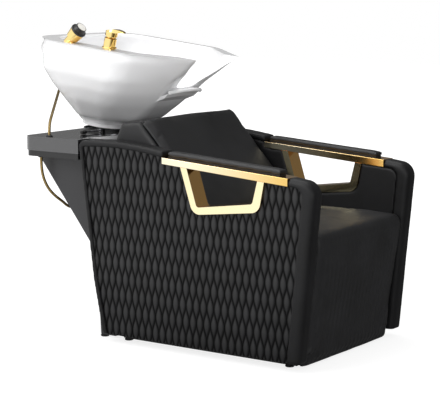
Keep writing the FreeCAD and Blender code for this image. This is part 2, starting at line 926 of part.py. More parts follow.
def back_pad_section(x, thickness, rise):
    """One slice of the front pad: the seam line behind, the bulged face in front."""
    slope = math.hypot(1, back_lean_share.value)
    out = Vector(0, -1 / slope, back_lean_share.value / slope) * thickness
    low = seat_top + joint_gap * 4
    high = back_top_height + rise
    seam_low = Vector(x.value, back_line(low).value, low.value)
    seam_high = Vector(x.value, back_line(high).value, high.value)
    along = (seam_high - seam_low).normalize()
    front_low = Vector(x.value, (seam_low + out).y - along.y * out.z / along.z, low.value)
    front_high = seam_high + out - along * thickness * 0.45
    small = edge_soft.value
    radii = [small, thickness * 0.4, thickness * 0.35, small]
    return rounded_wire([seam_low, front_low, front_high, seam_high], radii)


def backrest_cushion():
    half = back_half_width
    shoulder = half * 0.93
    thin = back_pad_edge.value
    full = back_pad_thickness.value
    drop = edge_soft * 2
    slices = [
        back_pad_section(-half, thin, -drop),
        back_pad_section(-shoulder, full * 0.85, back_crown * 0.6),
        back_pad_section(nothing, full, back_crown),
        back_pad_section(shoulder, full * 0.85, back_crown * 0.6),
        back_pad_section(half, thin, -drop),
    ]
    return solid_feature("backrest_cushion", Part.makeLoft(slices, True, True))


# Deck
def deck_plan(inset, gap):
    """T-shaped plan: narrow between the panels, full width behind them."""
    stem = inner_half_width - joint_gap - inset
    wing = deck_half_width - inset
    shoulder = panel_rear(deck_top) + gap + inset
    front = deck_front + inset
    rear = deck_rear - inset
    return [
        (-stem, front),
        (stem, front),
        (stem, shoulder),
        (wing, shoulder),
        (wing, rear),
        (-wing, rear),
        (-wing, shoulder),
        (-stem, shoulder),
    ]


def deck_shell():
    """Moulded glossy top, hollow from below."""
    low = deck_bottom + deck_lip
    plan = deck_plan(nothing, joint_gap)
    corners = ((4, deck_corner_round), (5, deck_corner_round))
    place = (nothing, nothing, low)
    height = deck_top - low
    body = prism("deck_shell", "XY_Plane", plan, height, place, corners, symmetric=False)

    def upper(edge):
        return all(abs(v.Point.z - height.value) < near for v in edge.Vertexes)

    round_where(body, deck_top_round, upper)
    hollow = new_sketch(body, "XY_Plane", deck_plan(deck_wall, joint_gap))
    pocket(body, hollow, height - deck_wall, symmetric=False, backwards=True)
    holes = [((nothing, deck_drain_place), waste_hole_radius), (hose_entry, hose_radius + bush_wall)]
    holes += [(spot, bolt_radius) for spot in bolt_spots()]
    drill = new_sketch(body, "XY_Plane", None, circles=holes)
    pocket(body, drill, height + overrun, symmetric=False, backwards=True)
    return body


def deck_board():
    half = inner_half_width - deck_wall - deck_board_margin
    front = deck_front + deck_wall + deck_board_margin
    rear = deck_rear - deck_wall - deck_board_margin
    plan = [(-half, front), (half, front), (half, rear), (-half, rear)]
    place = (nothing, nothing, deck_top - deck_wall - deck_board_thickness)
    holes = [((nothing, deck_drain_place), waste_hole_radius)]
    holes += [(spot, bolt_radius) for spot in bolt_spots()]
    return prism(
        "deck_board", "XY_Plane", plan, deck_board_thickness, place, circles=holes, symmetric=False
    )


def deck_underplate():
    plan = deck_plan(deck_lip_inset, joint_gap)
    corners = ((4, deck_corner_round - deck_lip_inset), (5, deck_corner_round - deck_lip_inset))
    holes = [((nothing, deck_drain_place), waste_hole_radius), (hose_exit, hose_radius + bush_wall)]
    place = (nothing, nothing, deck_bottom)
    return prism(
        "deck_underplate", "XY_Plane", plan, deck_lip, place, corners, circles=holes, symmetric=False
    )


# Housing under the deck
def housing_rear(height):
    """Y of the housing's sloped rear wall at a height."""
    return housing_top_rear - housing_slope_share * (deck_bottom - height)


def housing_shell():
    knee = housing_rear(housing_knee_height)
    outline = [
        (housing_front, base_bottom),
        (housing_front, deck_bottom),
        (housing_top_rear, deck_bottom),
        (knee, housing_knee_height),
        (housing_foot_rear, base_bottom),
    ]
    body = prism("housing_shell", "YZ_Plane", outline, housing_half_width * 2)
    round_where(
        body,
        housing_edge_round,
        lambda edge: on_side_face(edge, housing_half_width)
        and min(v.Point.y for v in edge.Vertexes) > housing_front.value + near
        and max(v.Point.z for v in edge.Vertexes) - min(v.Point.z for v in edge.Vertexes) > near,
    )
    wall = housing_wall
    inside = [
        (housing_front + wall, base_bottom - overrun),
        (housing_front + wall, deck_bottom + overrun),
        (housing_top_rear - wall * 1.4, deck_bottom + overrun),
        (housing_rear(deck_bottom) - wall * 1.4, deck_bottom),
        (knee - wall * 1.1, housing_knee_height),
        (housing_foot_rear - wall, base_bottom - overrun),
    ]
    sketch = new_sketch(body, "YZ_Plane", inside)
    pocket(body, sketch, (housing_half_width - wall) * 2)
    return body


def slope_stand(x, height, lift):
    """Placement on the sloped wall: local Z points out of it, local Y up along it."""
    slope = housing_slope_share.value
    out = Vector(0, 1, -slope).normalize()
    up = Vector(0, slope, 1).normalize()
    point = Vector(x, housing_rear(height).value, height.value) + out * lift
    return Placement(point, Rotation(up.cross(out), up, out, "ZXY"))


def make_housing():
    """Housing with its access opening, cover, screws and hose hole."""
    shell = housing_shell()
    wall = housing_wall.value
    opening = Part.makeBox(
        cover_width.value - 2 * cover_lap.value,
        cover_length.value - 2 * cover_lap.value,
        wall * 4,
        Vector(cover_lap.value - cover_width.value / 2, cover_lap.value - cover_length.value / 2, -wall * 2),
    )
    opening.Placement = slope_stand(0, cover_middle_height, 0)
    port = Part.makeCylinder(hose_radius.value + bush_wall.value, wall * 4, Vector(0, 0, -wall * 2))
    port.Placement = slope_stand(-hose_port_half.value, hose_port_height, 0)
    shape = shell.Shape.cut(opening).cut(port)
    hidden_body(shell)
    half_x = cover_width / 2
    half_y = cover_length / 2
    plan = [(-half_x, -half_y), (half_x, -half_y), (half_x, half_y), (-half_x, half_y)]
    spots = [
        (x - screw_margin * a, y - screw_margin * b)
        for a, x in ((-1, -half_x), (1, half_x))
        for b, y in ((-1, -half_y), (1, half_y))
    ]
    corners = tuple((k, cover_corner_round) for k in range(4))
    cover = prism(
        "housing_cover",
        "XY_Plane",
        plan,
        cover_thickness,
        corners=corners,
        circles=[(spot, screw_shank_radius + joint_gap) for spot in spots],
        symmetric=False,
    )
    cover.Placement = slope_stand(0, cover_middle_height, 0)
    screw = hidden_body(screw_body("cover_screw"))
    seat = slope_stand(0, cover_middle_height, cover_thickness.value)
    stands = [seat * Placement(Vector(x.value, y.value, 0), Rotation()) for x, y in spots]
    screws = group_of("cover_screws", screw, stands)
    solid_feature("housing_shell", one_solid(shape.cut(screws.Shape)))


screw_margin = cover_lap / 2


def screw_body(name):
    """Round-headed screw: its head sits on the plane at Z = 0."""
    profile = [
        (nothing, screw_head_height),
        (screw_head_radius * 0.55, screw_head_height),
        (screw_head_radius, screw_head_height * 0.3),
        (screw_head_radius, nothing),
        (screw_shank_radius, nothing),
        (screw_shank_radius, -screw_length * 0.75),
        (nothing, -screw_length),
    ]
    return turned(name, profile)


# Feet
def make_feet():
    profile = [
        (nothing, nothing),
        (foot_radius * 0.9, nothing),
        (foot_radius, foot_pad_height * 0.4),
        (foot_radius, foot_pad_height),
        (foot_stem_radius, foot_pad_height),
        (foot_stem_radius, base_bottom),
        (nothing, base_bottom),
    ]
    foot = hidden_body(turned("foot", profile))
    side = inner_half_width - foot_inset
    rows = (seat_frame_front + foot_inset, foot_rear_place, housing_foot_rear - foot_inset)
    spots = [(side * sign, y) for sign in (-1, 1) for y in rows]
    stands = [Placement(Vector(x.value, y.value, 0), Rotation()) for x, y in spots]
    group_of("feet", foot, stands)


# Tilt bracket
def bolt_spots():
    """Where the tilt base is bolted to the deck."""
    return [
        (bolt_spread * across, basin_foot_middle + bolt_reach * along)
        for across in (-1, 1)
        for along in (-1, 1)
    ]


def round_ear(width, radius, low, centre_x):
    """A hinge ear: a round head on the pivot with a straight foot down to a height."""
    head = Part.makeCylinder(
        radius, width, Vector(centre_x - width / 2, pivot_place.value, pivot_height.value), Vector(1, 0, 0)
    )
    leg = Part.makeBox(
        width,
        2 * radius,
        pivot_height.value - low,
        Vector(centre_x - width / 2, pivot_place.value - radius, low),
    )
    return head.fuse(leg)


def tilt_base():
    """Round bolted base: hinge ears inside, a flange that rises to the rear, the lock's boss."""
    middle = basin_foot_middle.value
    low = deck_top.value
    thick = base_thickness.value
    radius = base_radius.value
    wall = base_flange.value
    tall = thick + base_flange_rear.value
    foot = Vector(0, middle, low)
    shape = Part.makeCylinder(radius, tall, foot)
    shape = shape.cut(Part.makeCylinder(radius - wall, tall, foot + Vector(0, 0, thick)))
    rise = (base_flange_rear - base_flange_front).value
    lean = math.degrees(math.atan2(rise, 2 * radius))
    lid = Part.makeBox(4 * radius, 4 * radius, 2 * tall, Vector(-2 * radius, -radius, 0))
    lid.Placement = Placement(
        Vector(0, middle - radius, low + thick + base_flange_front.value),
        Rotation(Vector(1, 0, 0), lean),
    )
    shape = shape.cut(lid)
    boss = Part.makeBox(
        lock_boss_length.value,
        lock_boss_width.value,
        lock_boss_height.value,
        Vector(
            -radius - lock_boss_length.value / 2 + wall,
            lock_place.value - lock_boss_width.value / 2,
            low,
        ),
    )
    shape = shape.fuse(boss)
    offset = (lug_width / 2 + ear_gap + ear_thickness / 2).value
    for sign in (-1, 1):
        shape = shape.fuse(round_ear(ear_thickness.value, ear_radius.value, low + thick / 2, sign * offset))
    drain = Vector(0, deck_drain_place.value, low - tall)
    shape = shape.cut(Part.makeCylinder(waste_hole_radius.value, 4 * tall, drain))
    across = Vector(1, 0, 0)
    start = Vector(-2 * offset, pivot_place.value, pivot_height.value)
    shape = shape.cut(Part.makeCylinder(pin_radius.value, 4 * offset, start, across))
    start = Vector(-2 * radius, lock_place.value, lock_height.value)
    shape = shape.cut(Part.makeCylinder(lock_radius.value + pin_clearance.value, 2 * radius, start, across))
    for x, y in bolt_spots():
        start = Vector(x.value, y.value, low - tall)
        shape = shape.cut(Part.makeCylinder(bolt_radius.value, 4 * tall, start))
    return solid_feature("tilt_base", one_solid(shape.removeSplitter()))


def one_solid(shape):
    """The single solid in a boolean's result."""
    if len(shape.Solids) != 1:
        raise RuntimeError("expected one solid, found %d" % len(shape.Solids))
    return shape.Solids[0]


def tilt_pin():
    half = lug_width / 2 + ear_gap + ear_thickness
    head = pin_radius * 1.5
    profile = [
        (nothing, -half - pin_radius * 0.6),
        (head, -half - pin_radius * 0.6),
        (head, -half),
        (pin_radius, -half),
        (pin_radius, half),
        (nothing, half),
    ]
    middle = Vector(0, pivot_place.value, pivot_height.value)
    return turned("tilt_pin", profile, Placement(middle, Rotation(Vector(0, 0, 1), Vector(1, 0, 0))))


def tilt_cradle():
    """Disc inside the basin's foot ring, with the hinge lug between two slots for the ears."""
    radius = (basin_foot_radius - basin_foot_wall - joint_gap).value
    low = basin_foot_bottom.value
    thick = base_thickness.value
    middle = basin_foot_middle.value
    width = lug_width.value
    ear = ear_radius.value
    shape = Part.makeCylinder(radius, thick, Vector(0, middle, low))
    slot_width = (ear_thickness + ear_gap * 2 + pin_radius).value
    slot_length = ear * 2.5
    for sign in (-1, 1):
        left = width / 2 if sign > 0 else -width / 2 - slot_width
        corner = Vector(left, pivot_place.value - slot_length / 2, low - thick)
        shape = shape.cut(Part.makeBox(slot_width, slot_length, 4 * thick, corner))
    across = Vector(1, 0, 0)
    pivot = Vector(-width / 2, pivot_place.value, pivot_height.value)
    shape = shape.fuse(Part.makeCylinder(ear, width, pivot, across))
    bore = pin_radius.value + pin_clearance.value
    shape = shape.cut(Part.makeCylinder(bore, 3 * width, pivot - across * width, across))
    drain = Vector(0, bowl_drain_place.value, low - thick)
    shape = shape.cut(Part.makeCylinder(cradle_hole_radius.value, 4 * thick, drain))
    return solid_feature("tilt_cradle", one_solid(shape.removeSplitter()), basin_stand)


def tilt_buffers():
    profile = [
        (nothing, nothing),
        (buffer_radius, nothing),
        (buffer_radius, buffer_height * 0.6),
        (buffer_radius * 0.7, buffer_height),
        (nothing, buffer_height),
    ]
    pad_body = hidden_body(turned("buffer", profile))
    height = (deck_top + base_thickness).value
    stands = [
        Placement(Vector(sign * buffer_spread.value, buffer_place.value, height), Rotation())
        for sign in (-1, 1)
    ]
    group_of("tilt_buffers", pad_body, stands)


def base_bolts():
    profile = [
        (nothing, bolt_head_height),
        (bolt_head_radius * 0.7, bolt_head_height),
        (bolt_head_radius, bolt_head_height * 0.4),
        (bolt_head_radius, nothing),
        (bolt_radius, nothing),
        (bolt_radius, -(base_thickness + deck_wall + deck_board_thickness)),
        (nothing, -(base_thickness + deck_wall + deck_board_thickness)),
    ]
    bolt = hidden_body(turned("base_bolt", profile))
    height = (deck_top + base_thickness).value
    stands = [Placement(Vector(x.value, y.value, height), Rotation()) for x, y in bolt_spots()]
    group_of("base_bolts", bolt, stands)


def lock_parts():
    """Threaded rod through the base's boss, with a collar and a grooved knob at its end."""
    start = Vector(-base_radius.value + base_flange.value, lock_place.value, lock_height.value)
    across = Rotation(Vector(0, 0, 1), Vector(-1, 0, 0))
    stand = Placement(start, across)
    length = lock_rod_length
    collar = lock_boss_length / 2 + joint_gap
    rod = [
        (nothing, nothing),
        (lock_radius, nothing),
        (lock_radius, collar),
        (lock_collar_radius, collar),
        (lock_collar_radius, collar + lock_radius),
        (lock_radius, collar + lock_radius),
        (lock_radius, length),
        (nothing, length),
    ]
    turned("lock_rod", rod, stand)
    grip = lock_knob_length
    knob = [
        (nothing, length),
        (lock_knob_radius * 0.8, length),
        (lock_knob_radius, length + grip * 0.1),
        (lock_knob_radius, length + grip * 0.42),
        (lock_knob_radius * 0.86, length + grip * 0.5),
        (lock_knob_radius, length + grip * 0.58),
        (lock_knob_radius, length + grip * 0.9),
        (lock_knob_radius * 0.8, length + grip),
        (nothing, length + grip),
    ]
    turned("lock_knob", knob, stand)


# Basin. Each slice is a level outline, given as shares of the rim's outline:
# height share from foot top to rim, half width, rear, side corner, front half width, front,
# and the three corner radii. Widths are shares of the half width, places shares of the length.
basin_foot_top = basin_foot_bottom + basin_foot_height
basin_depth = rim_height - basin_foot_top
basin_length = basin_rear - basin_front
basin_stand = Placement(
    Vector(0, 0, 0),
    Rotation(Vector(1, 0, 0), tilt_rest.value),
    Vector(0, pivot_place.value, pivot_height.value),
)

outer_shares = (
    (0.0, 0.38, 0.872, 0.645, 0.211, 0.545, 0.335, 0.218, 0.164),
    (0.132, 0.545, 0.899, 0.591, 0.262, 0.404, 0.418, 0.291, 0.182),
    (0.307, 0.727, 0.929, 0.511, 0.309, 0.324, 0.455, 0.345, 0.182),
    (0.48, 0.865, 0.964, 0.431, 0.356, 0.252, 0.455, 0.364, 0.164),
    (0.637, 0.953, 0.992, 0.375, 0.393, 0.188, 0.455, 0.382, 0.127),
    (0.829, 0.985, 0.998, 0.335, 0.429, 0.088, 0.455, 0.4, 0.1),
    (1.0, 1.0, 1.0, 0.304, 0.473, 0.0, 0.455, 0.4, 0.08),
)
bowl_shares = (
    (0.0, 0.39, 0.39, 0.78, 0.585, 0.16, 0.475, 0.25, 0.15, 0.1),
    (0.13, 0.61, 0.565, 0.838, 0.52, 0.218, 0.385, 0.32, 0.24, 0.13),
    (0.312, 0.757, 0.673, 0.893, 0.455, 0.276, 0.305, 0.36, 0.28, 0.14),
    (0.518, 0.836, 0.716, 0.931, 0.395, 0.32, 0.228, 0.37, 0.3, 0.13),
    (0.77, 0.88, 0.738, 0.947, 0.347, 0.349, 0.13, 0.36, 0.3, 0.12),
    (1.0, 0.898, 0.745, 0.954, 0.315, 0.378, 0.052, 0.345, 0.29, 0.11),
)


def with_halfway(shares):
    """Shares with one more halfway between each two, which keeps a smooth loft from swinging out."""
    steps = [shares[0]]
    for low, high in zip(shares, shares[1:]):
        steps += [(low + high) / 2, high]
    return steps


def lerp_row(rows, share):
    """One row of a share table, read between two of its heights."""
    low = [row for row in rows if row[0] <= share][-1]
    high = [row for row in rows if row[0] >= share][0]
    if high[0] == low[0]:
        return low
    blend = (share - low[0]) / (high[0] - low[0])
    return tuple(a + blend * (b - a) for a, b in zip(low, high))


def basin_slice(height, left, right, rear, corner, front_half, front, radii):
    points = [
        Vector(right, rear, height),
        Vector(right, corner, height),
        Vector(front_half, front, height),
        Vector(-front_half, front, height),
        Vector(-left, corner, height),
        Vector(-left, rear, height),
    ]
    order = (0, 1, 2, 2, 1, 0)
    return rounded_wire(points, [radii[k] for k in order])


def outer_slice(share, inset=0.0):
    row = lerp_row(outer_shares, share)
    half = basin_half_width.value
    length = basin_length.value
    start = basin_front.value
    return basin_slice(
        basin_foot_top.value + share * basin_depth.value,
        row[1] * half - inset,
        row[1] * half - inset,
        start + row[2] * length - inset,
        start + row[3] * length + inset * 0.4,
        row[4] * half - inset * 0.5,
        start + row[5] * length + inset * 1.1,
        [radius * half - inset * 0.3 for radius in row[6:]],
    )


def bowl_slice(share, grow=0.0, top=None):
    row = lerp_row(bowl_shares, min(share, 1.0))
    half = basin_half_width.value
    length = basin_length.value
    start = basin_front.value
    depth = rim_height.value - bowl_floor.value
    height = bowl_floor.value + share * depth if top is None else top
    return basin_slice(
        height,
        row[2] * half + grow,
        row[1] * half + grow,
        start + row[3] * length + grow,
        start + row[4] * length - grow * 0.4,
        row[5] * half + grow * 0.5,
        start + row[6] * length - grow * 1.1,
        [radius * half for radius in row[7:]],
    )


def basin_notch():
    """V-shaped cutter for the neck with a rounded bottom, running back into the bowl."""
    top = rim_height + overrun
    rise = (notch_top_half - notch_low_half) / (rim_height.value - notch_bottom.value)
    wide = (notch_top_half + rise * overrun).value
    half = notch_low_half.value
    front = basin_front.value - overrun.value
    outline = [
        Vector(wide, front, top.value),
        Vector(half, front, notch_bottom.value),
        Vector(-half, front, notch_bottom.value),
        Vector(-wide, front, top.value),
    ]
    soft = edge_soft.value
    corner = notch_corner_round.value
    wire = rounded_wire(outline, [soft, corner, corner, soft])
    return Part.Face(wire).extrude(Vector(0, notch_depth.value, 0))


def neck_line():
    """Ends and middle of the arc that the neck lip follows."""
    height = notch_bottom.value - neck_lip_radius.value * lip_sink_share.value
    wall = basin_front.value + lerp_row(outer_shares, notch_share)[5] * basin_length.value
    front = wall - neck_lip_reach.value
    half = neck_lip_half.value
    side = front + neck_lip_sweep.value
    low = height - neck_lip_droop.value
    return Vector(-half, side, low), Vector(0, front, height), Vector(half, side, low)


def neck_lip():
    """Rolled lip that carries the neck: a bar along an arc just under the notch."""
    start, middle, end = neck_line()
    spine = Part.Wire(Part.Arc(start, middle, end).toShape())
    way = spine.Edges[0].tangentAt(spine.Edges[0].FirstParameter)
    ring = Part.Wire(Part.Circle(start, way, neck_lip_radius.value).toShape())
    lip = spine.makePipeShell([ring], True, False)
    for tip in (start, end):
        lip = lip.fuse(Part.makeSphere(neck_lip_radius.value, tip))
    return lip


def neck_web():
    """Fills between the lip and the wall, so that the lip grows out of the ceramic."""
    start, middle, end = neck_line()
    back = Vector(0, end.y - middle.y, end.z - middle.z)
    back.normalize()
    back.multiply(neck_lip_reach.value * web_depth_share.value)
    edges = [
        Part.Arc(start, middle, end).toShape(),
        Part.LineSegment(end, end + back).toShape(),
        Part.LineSegment(end + back, start + back).toShape(),
        Part.LineSegment(start + back, start).toShape(),
    ]
    down = Vector(0, neck_lip_reach.value, -neck_lip_reach.value)
    return Part.Face(Part.Wire(edges)).extrude(down)


notch_share = ((notch_bottom - basin_foot_top) / basin_depth).value


def basin_solid():
    """Double-walled ceramic: outer skirt, bowl, tap ledge and foot ring in one piece."""
    wall = basin_wall.value
    shares = with_halfway([row[0] for row in outer_shares])
    outer = Part.makeLoft([outer_slice(share) for share in shares], True, False)
    foot = Part.makeCylinder(
        basin_foot_radius.value,
        basin_foot_height.value + edge_soft.value,
        Vector(0, basin_foot_middle.value, basin_foot_bottom.value),
    )
    steps = with_halfway([row[0] for row in bowl_shares])
    bowl = Part.makeLoft([bowl_slice(share) for share in steps], True, False)
    mouth = Part.Face(bowl_slice(1.0)).extrude(Vector(0, 0, overrun.value))
    well = Part.makeCylinder(
        basin_foot_radius.value - basin_foot_wall.value,
        basin_foot_height.value + wall + overrun.value,
        Vector(0, basin_foot_middle.value, basin_foot_bottom.value - overrun.value),
    )
    shape = outer.fuse(foot).fuse(neck_web()).cut(bowl).cut(mouth).cut(basin_notch())
    shape = shape.cut(basin_cavity(shares, steps)).cut(well).fuse(neck_lip())
    down = Vector(0, 0, -1)
    drain = Vector(0, bowl_drain_place.value, bowl_floor.value + wall)
    shape = shape.cut(Part.makeCylinder(drain_radius.value, 4 * wall, drain, down))
    for place, radius in ((mixer_place, mixer_shank_radius), (holder_place, holder_shank_radius)):
        top = Vector(tap_line.value, place.value, rim_height.value + wall)
        shape = shape.cut(Part.makeCylinder(radius.value + joint_gap.value, 4 * wall, top, down))
    port = Part.makeCylinder(hose_radius.value + bush_wall.value, 8 * wall, Vector(0, 0, -4 * wall))
    port.Placement = hose_start_stand
    return one_solid(shape.cut(port))


def basin_cavity(shares, steps):
    """The space between skirt and bowl, left out where the front is solid."""
    wall = basin_wall.value
    lining = []
    for share in steps:
        row = bowl_slice(share, wall)
        row.translate(Vector(0, 0, -wall * (1 - share)))
        lining.append(row)
    ceiling = (rim_height - ledge_thickness - basin_foot_top).value / basin_depth.value
    rising = [share for share in shares if share < ceiling] + [ceiling]
    cavity = Part.makeLoft([outer_slice(share, wall) for share in rising], True, False)
    front_block = Part.makeBox(
        2 * basin_half_width.value,
        front_solid_depth,
        rim_height.value,
        Vector(-basin_half_width.value, basin_front.value, front_solid_height),
    )
    return cavity.cut(Part.makeLoft(lining, True, False)).cut(front_block)


front_solid_height = (notch_bottom - basin_wall * 5).value
front_solid_depth = (basin_length * 0.37).value


def outer_rear(height):
    """Y of the skirt's flat rear and its slope at a height, in the basin's frame."""
    share = (height - basin_foot_top.value) / basin_depth.value
    step = 0.02
    low = lerp_row(outer_shares, share - step)[2]
    high = lerp_row(outer_shares, share + step)[2]
    place = basin_front.value + lerp_row(outer_shares, share)[2] * basin_length.value
    slope = (high - low) * basin_length.value / (2 * step * basin_depth.value)
    return place, slope


# Hose ends: basin bush, deck bushes and housing bush
hose_start_half = size("hose_start_half", 11.8)
hose_start_drop = size("hose_start_drop", 157.7)
hose_start_height = rim_height - hose_start_drop
hose_entry_inset = size("hose_entry_inset", 20)
hose_entry_step = size("hose_entry_step", 79)
hose_entry = (hose_entry_inset - deck_half_width, pivot_place + hose_entry_step)
hose_exit_inset = size("hose_exit_inset", 34)
hose_exit_step = size("hose_exit_step", 130)
hose_exit = (hose_exit_inset - deck_half_width, pivot_place + hose_exit_step)
hose_port_half = size("hose_port_half", 180)
hose_port_drop = size("hose_port_drop", 169.1)
hose_port_height = deck_bottom - hose_port_drop
hose_lead = size("hose_lead", 20)
bend_share = 0.45
start_place, start_slope = outer_rear(hose_start_height.value)
start_out = Vector(0, 1, -start_slope).normalize()
hose_start_stand = Placement(
    Vector(-hose_start_half.value, start_place, hose_start_height.value),
    Rotation(Vector(0, 0, 1), start_out),
)


def bush(name, stand, depth):
    """Flanged bush: its flange lies on the wall, the hose's end meets its outer face."""
    radius = hose_radius
    outer = radius + bush_wall
    profile = [
        (radius * 0.8, -depth),
        (outer, -depth),
        (outer, nothing),
        (outer + bush_flange, nothing),
        (outer + bush_flange, bush_flange * 0.7),
        (outer, bush_length),
        (radius * 0.8, bush_length),
    ]
    return turned(name, profile, stand)


# Taps
def tap_stand(place):
    return basin_stand * Placement(Vector(tap_line.value, place.value, rim_height.value), Rotation())


def mixer_parts():
    stand = tap_stand(mixer_place)
    ring = [
        (mixer_shank_radius, nothing),
        (mixer_neck_radius, nothing),
        (mixer_neck_radius, mixer_ring_height * 0.45),
        (mixer_ring_radius, mixer_ring_height * 0.55),
        (mixer_ring_radius, mixer_ring_height * 0.85),
        (mixer_ring_radius * 0.94, mixer_ring_height),
        (mixer_shank_radius, mixer_ring_height),
    ]
    turned("mixer_ring", ring, stand)
    shank = Part.makeCylinder(
        mixer_shank_radius.value,
        (mixer_shank_length + mixer_ring_height).value,
        Vector(0, 0, -mixer_shank_length.value),
    )
    low = mixer_ring_height
    top = mixer_height
    leaned = Placement(Vector(0, 0, low.value), Rotation(Vector(1, 0, 0), mixer_lean.value))
    radius = mixer_radius.value
    barrel = Part.makeCylinder(radius, (top + low).value, Vector(0, 0, -low.value))
    barrel.Placement = leaned
    slab = Part.makeBox(4 * radius, 4 * radius, low.value * 4, Vector(-2 * radius, -2 * radius, -low.value * 3))
    body = barrel.cut(slab).fuse(shank).removeSplitter()
    solid_feature("mixer_body", one_solid(body), stand)
    ledge = ledge_thickness
    nut = [
        (mixer_shank_radius, -ledge - mixer_nut_height),
        (mixer_nut_radius, -ledge - mixer_nut_height),
        (mixer_nut_radius, -ledge),
        (mixer_shank_radius, -ledge),
    ]
    turned("mixer_nut", nut, stand)
    pivot = stand * leaned * Placement(Vector(0, 0, lever_pivot.value), Rotation())
    mixer_ball(pivot)
    mixer_lever(pivot)


# The lever turns about a pin through the ball: its skirt clears the barrel when lifted all the way
lever_angle = math.radians(lever_lift.value)
lever_drop = lever_skirt * math.cos(lever_angle) + mixer_radius * math.sin(lever_angle)
ball_rise = lever_drop + joint_gap
lever_pivot = mixer_height + ball_rise
ball_radius = mixer_radius - lever_cap_wall - joint_gap
pin_half = mixer_radius - lever_cap_wall / 2


def mixer_ball(pivot):
    """Ball collar that turns on the barrel, with the lever's pin across it."""
    radius = ball_radius.value
    low = math.degrees(math.asin((joint_gap - ball_rise).value / radius))
    high = math.degrees(math.asin(mixer_ball_top.value / radius))
    ball = Part.makeSphere(radius, Vector(0, 0, 0), Vector(0, 0, 1), low, high)
    pin = cross_pin(lever_pin_radius, pin_half)
    solid_feature("mixer_stem", one_solid(ball.fuse(pin)), pivot)


def cross_pin(radius, half):
    """Cylinder across the lever, centred on its pivot."""
    return Part.makeCylinder(radius.value, 2 * half.value, Vector(-half.value, 0, 0), Vector(1, 0, 0))


# Lever blade: place, top and underside as shares of reach and rise, then half width
lever_shares = (
    (-0.29, 0.07, -0.10, 0.80),
    (0.04, 0.67, -0.10, 1.00),
    (0.39, 1.00, -0.05, 0.86),
    (0.68, 1.02, 0.28, 0.64),
    (0.89, 0.92, 0.52, 0.48),
    (1.00, 0.76, 0.58, 0.36),
)


def mixer_lever(pivot):
    """Cap over the ball with a blade that rises forward and bends down at its tip."""
    low = -lever_skirt.value
    crest = low + lever_cap_height.value
    cap = Part.makeCylinder(mixer_radius.value, lever_cap_height.value, Vector(0, 0, low))
    slices = []
    for place, upper, lower, wide in lever_shares:
        y = -lever_reach.value * place
        z_top = crest + lever_rise.value * upper
        z_low = crest + lever_rise.value * lower
        half = lever_half.value * wide
        points = [
            Vector(-half, y, z_low),
            Vector(half, y, z_low),
            Vector(half * lever_crown_share.value, y, z_top),
            Vector(-half * lever_crown_share.value, y, z_top),
        ]
        slices.append(Part.makePolygon(points + points[:1]))
    blade = Part.makeLoft(slices, True, True)
    radius = (ball_radius + joint_gap).value
    roof = math.degrees(math.asin((crest - lever_cap_roof.value) / radius))
    room = Part.makeSphere(radius, Vector(0, 0, 0), Vector(0, 0, 1), -90, roof)
    seat = cross_pin(lever_pin_radius + pin_clearance, pin_half + pin_clearance)
    shape = cap.fuse(blade).cut(room).cut(seat).removeSplitter()
    solid_feature("mixer_lever", one_solid(shape), pivot)


def handset_parts():
    stand = tap_stand(holder_place)
    lean = Placement(Vector(0, 0, holder_height.value), Rotation(Vector(1, 0, 0), holder_lean.value))
    shank = Part.makeCylinder(
        holder_shank_radius.value, ledge_thickness.value * 3, Vector(0, 0, -ledge_thickness.value * 2.4)
    )
    plate = Part.makeCylinder(holder_radius.value, holder_height.value * 0.5)
    below = Part.makeBox(
        4 * holder_radius.value, 4 * holder_radius.value, 2 * holder_radius.value,
        Vector(-2 * holder_radius.value, -2 * holder_radius.value, -2 * holder_radius.value),
    )
    collar = Part.makeCylinder(holder_radius.value * 0.86, holder_rise.value * 2, Vector(0, 0, -holder_rise.value))
    collar.Placement = lean
    above = Part.makeCylinder(2 * holder_radius.value, 2 * holder_radius.value, Vector(0, 0, holder_rise.value))
    above.Placement = lean
    bore = (handset_neck_radius + handset_clearance).value
    socket = Part.makeCylinder(bore, handset_neck_length.value + holder_rise.value, Vector(0, 0, -handset_neck_length.value))
    socket.Placement = lean
    shape = collar.cut(above).cut(below).fuse(plate).fuse(shank).cut(socket).removeSplitter()
    solid_feature("handset_holder", one_solid(shape), stand)
    axis = stand * lean
    low = holder_rise + joint_gap
    neck_foot = -handset_neck_length + joint_gap
    body_top = low + handset_body_length
    inner = handset_face_radius * 0.8
    nose_radius = handset_face_radius - edge_soft
    body = [
        (nothing, neck_foot),
        (handset_neck_radius, neck_foot),
        (handset_neck_radius, low),
        (handset_back_radius, low + edge_soft),
        (handset_wide_radius, body_top),
        (nothing, body_top),
    ]
    turned("handset_body", body, axis)
    grip_top = body_top + handset_grip_length
    grip = [
        (nothing, body_top),
        (handset_wide_radius, body_top),
        (handset_wide_radius + edge_soft * 0.5, body_top + handset_grip_length * 0.5),
        (handset_wide_radius, grip_top),
        (nothing, grip_top),
    ]
    turned("handset_grip", grip, axis)
    nose_top = grip_top + handset_nose_length
    nose = [
        (nothing, grip_top),
        (handset_wide_radius - edge_soft * 2, grip_top),
        (nose_radius, nose_top),
        (nothing, nose_top),
    ]
    turned("handset_nose", nose, axis)
    face_top = nose_top + handset_face_thickness
    face = [
        (nothing, nose_top),
        (handset_face_radius, nose_top),
        (handset_face_radius, face_top),
        (handset_face_radius - edge_soft, face_top),
        (inner, face_top - edge_soft * 0.5),
        (nothing, face_top - edge_soft * 0.5),
    ]
    turned("handset_face", face, axis)


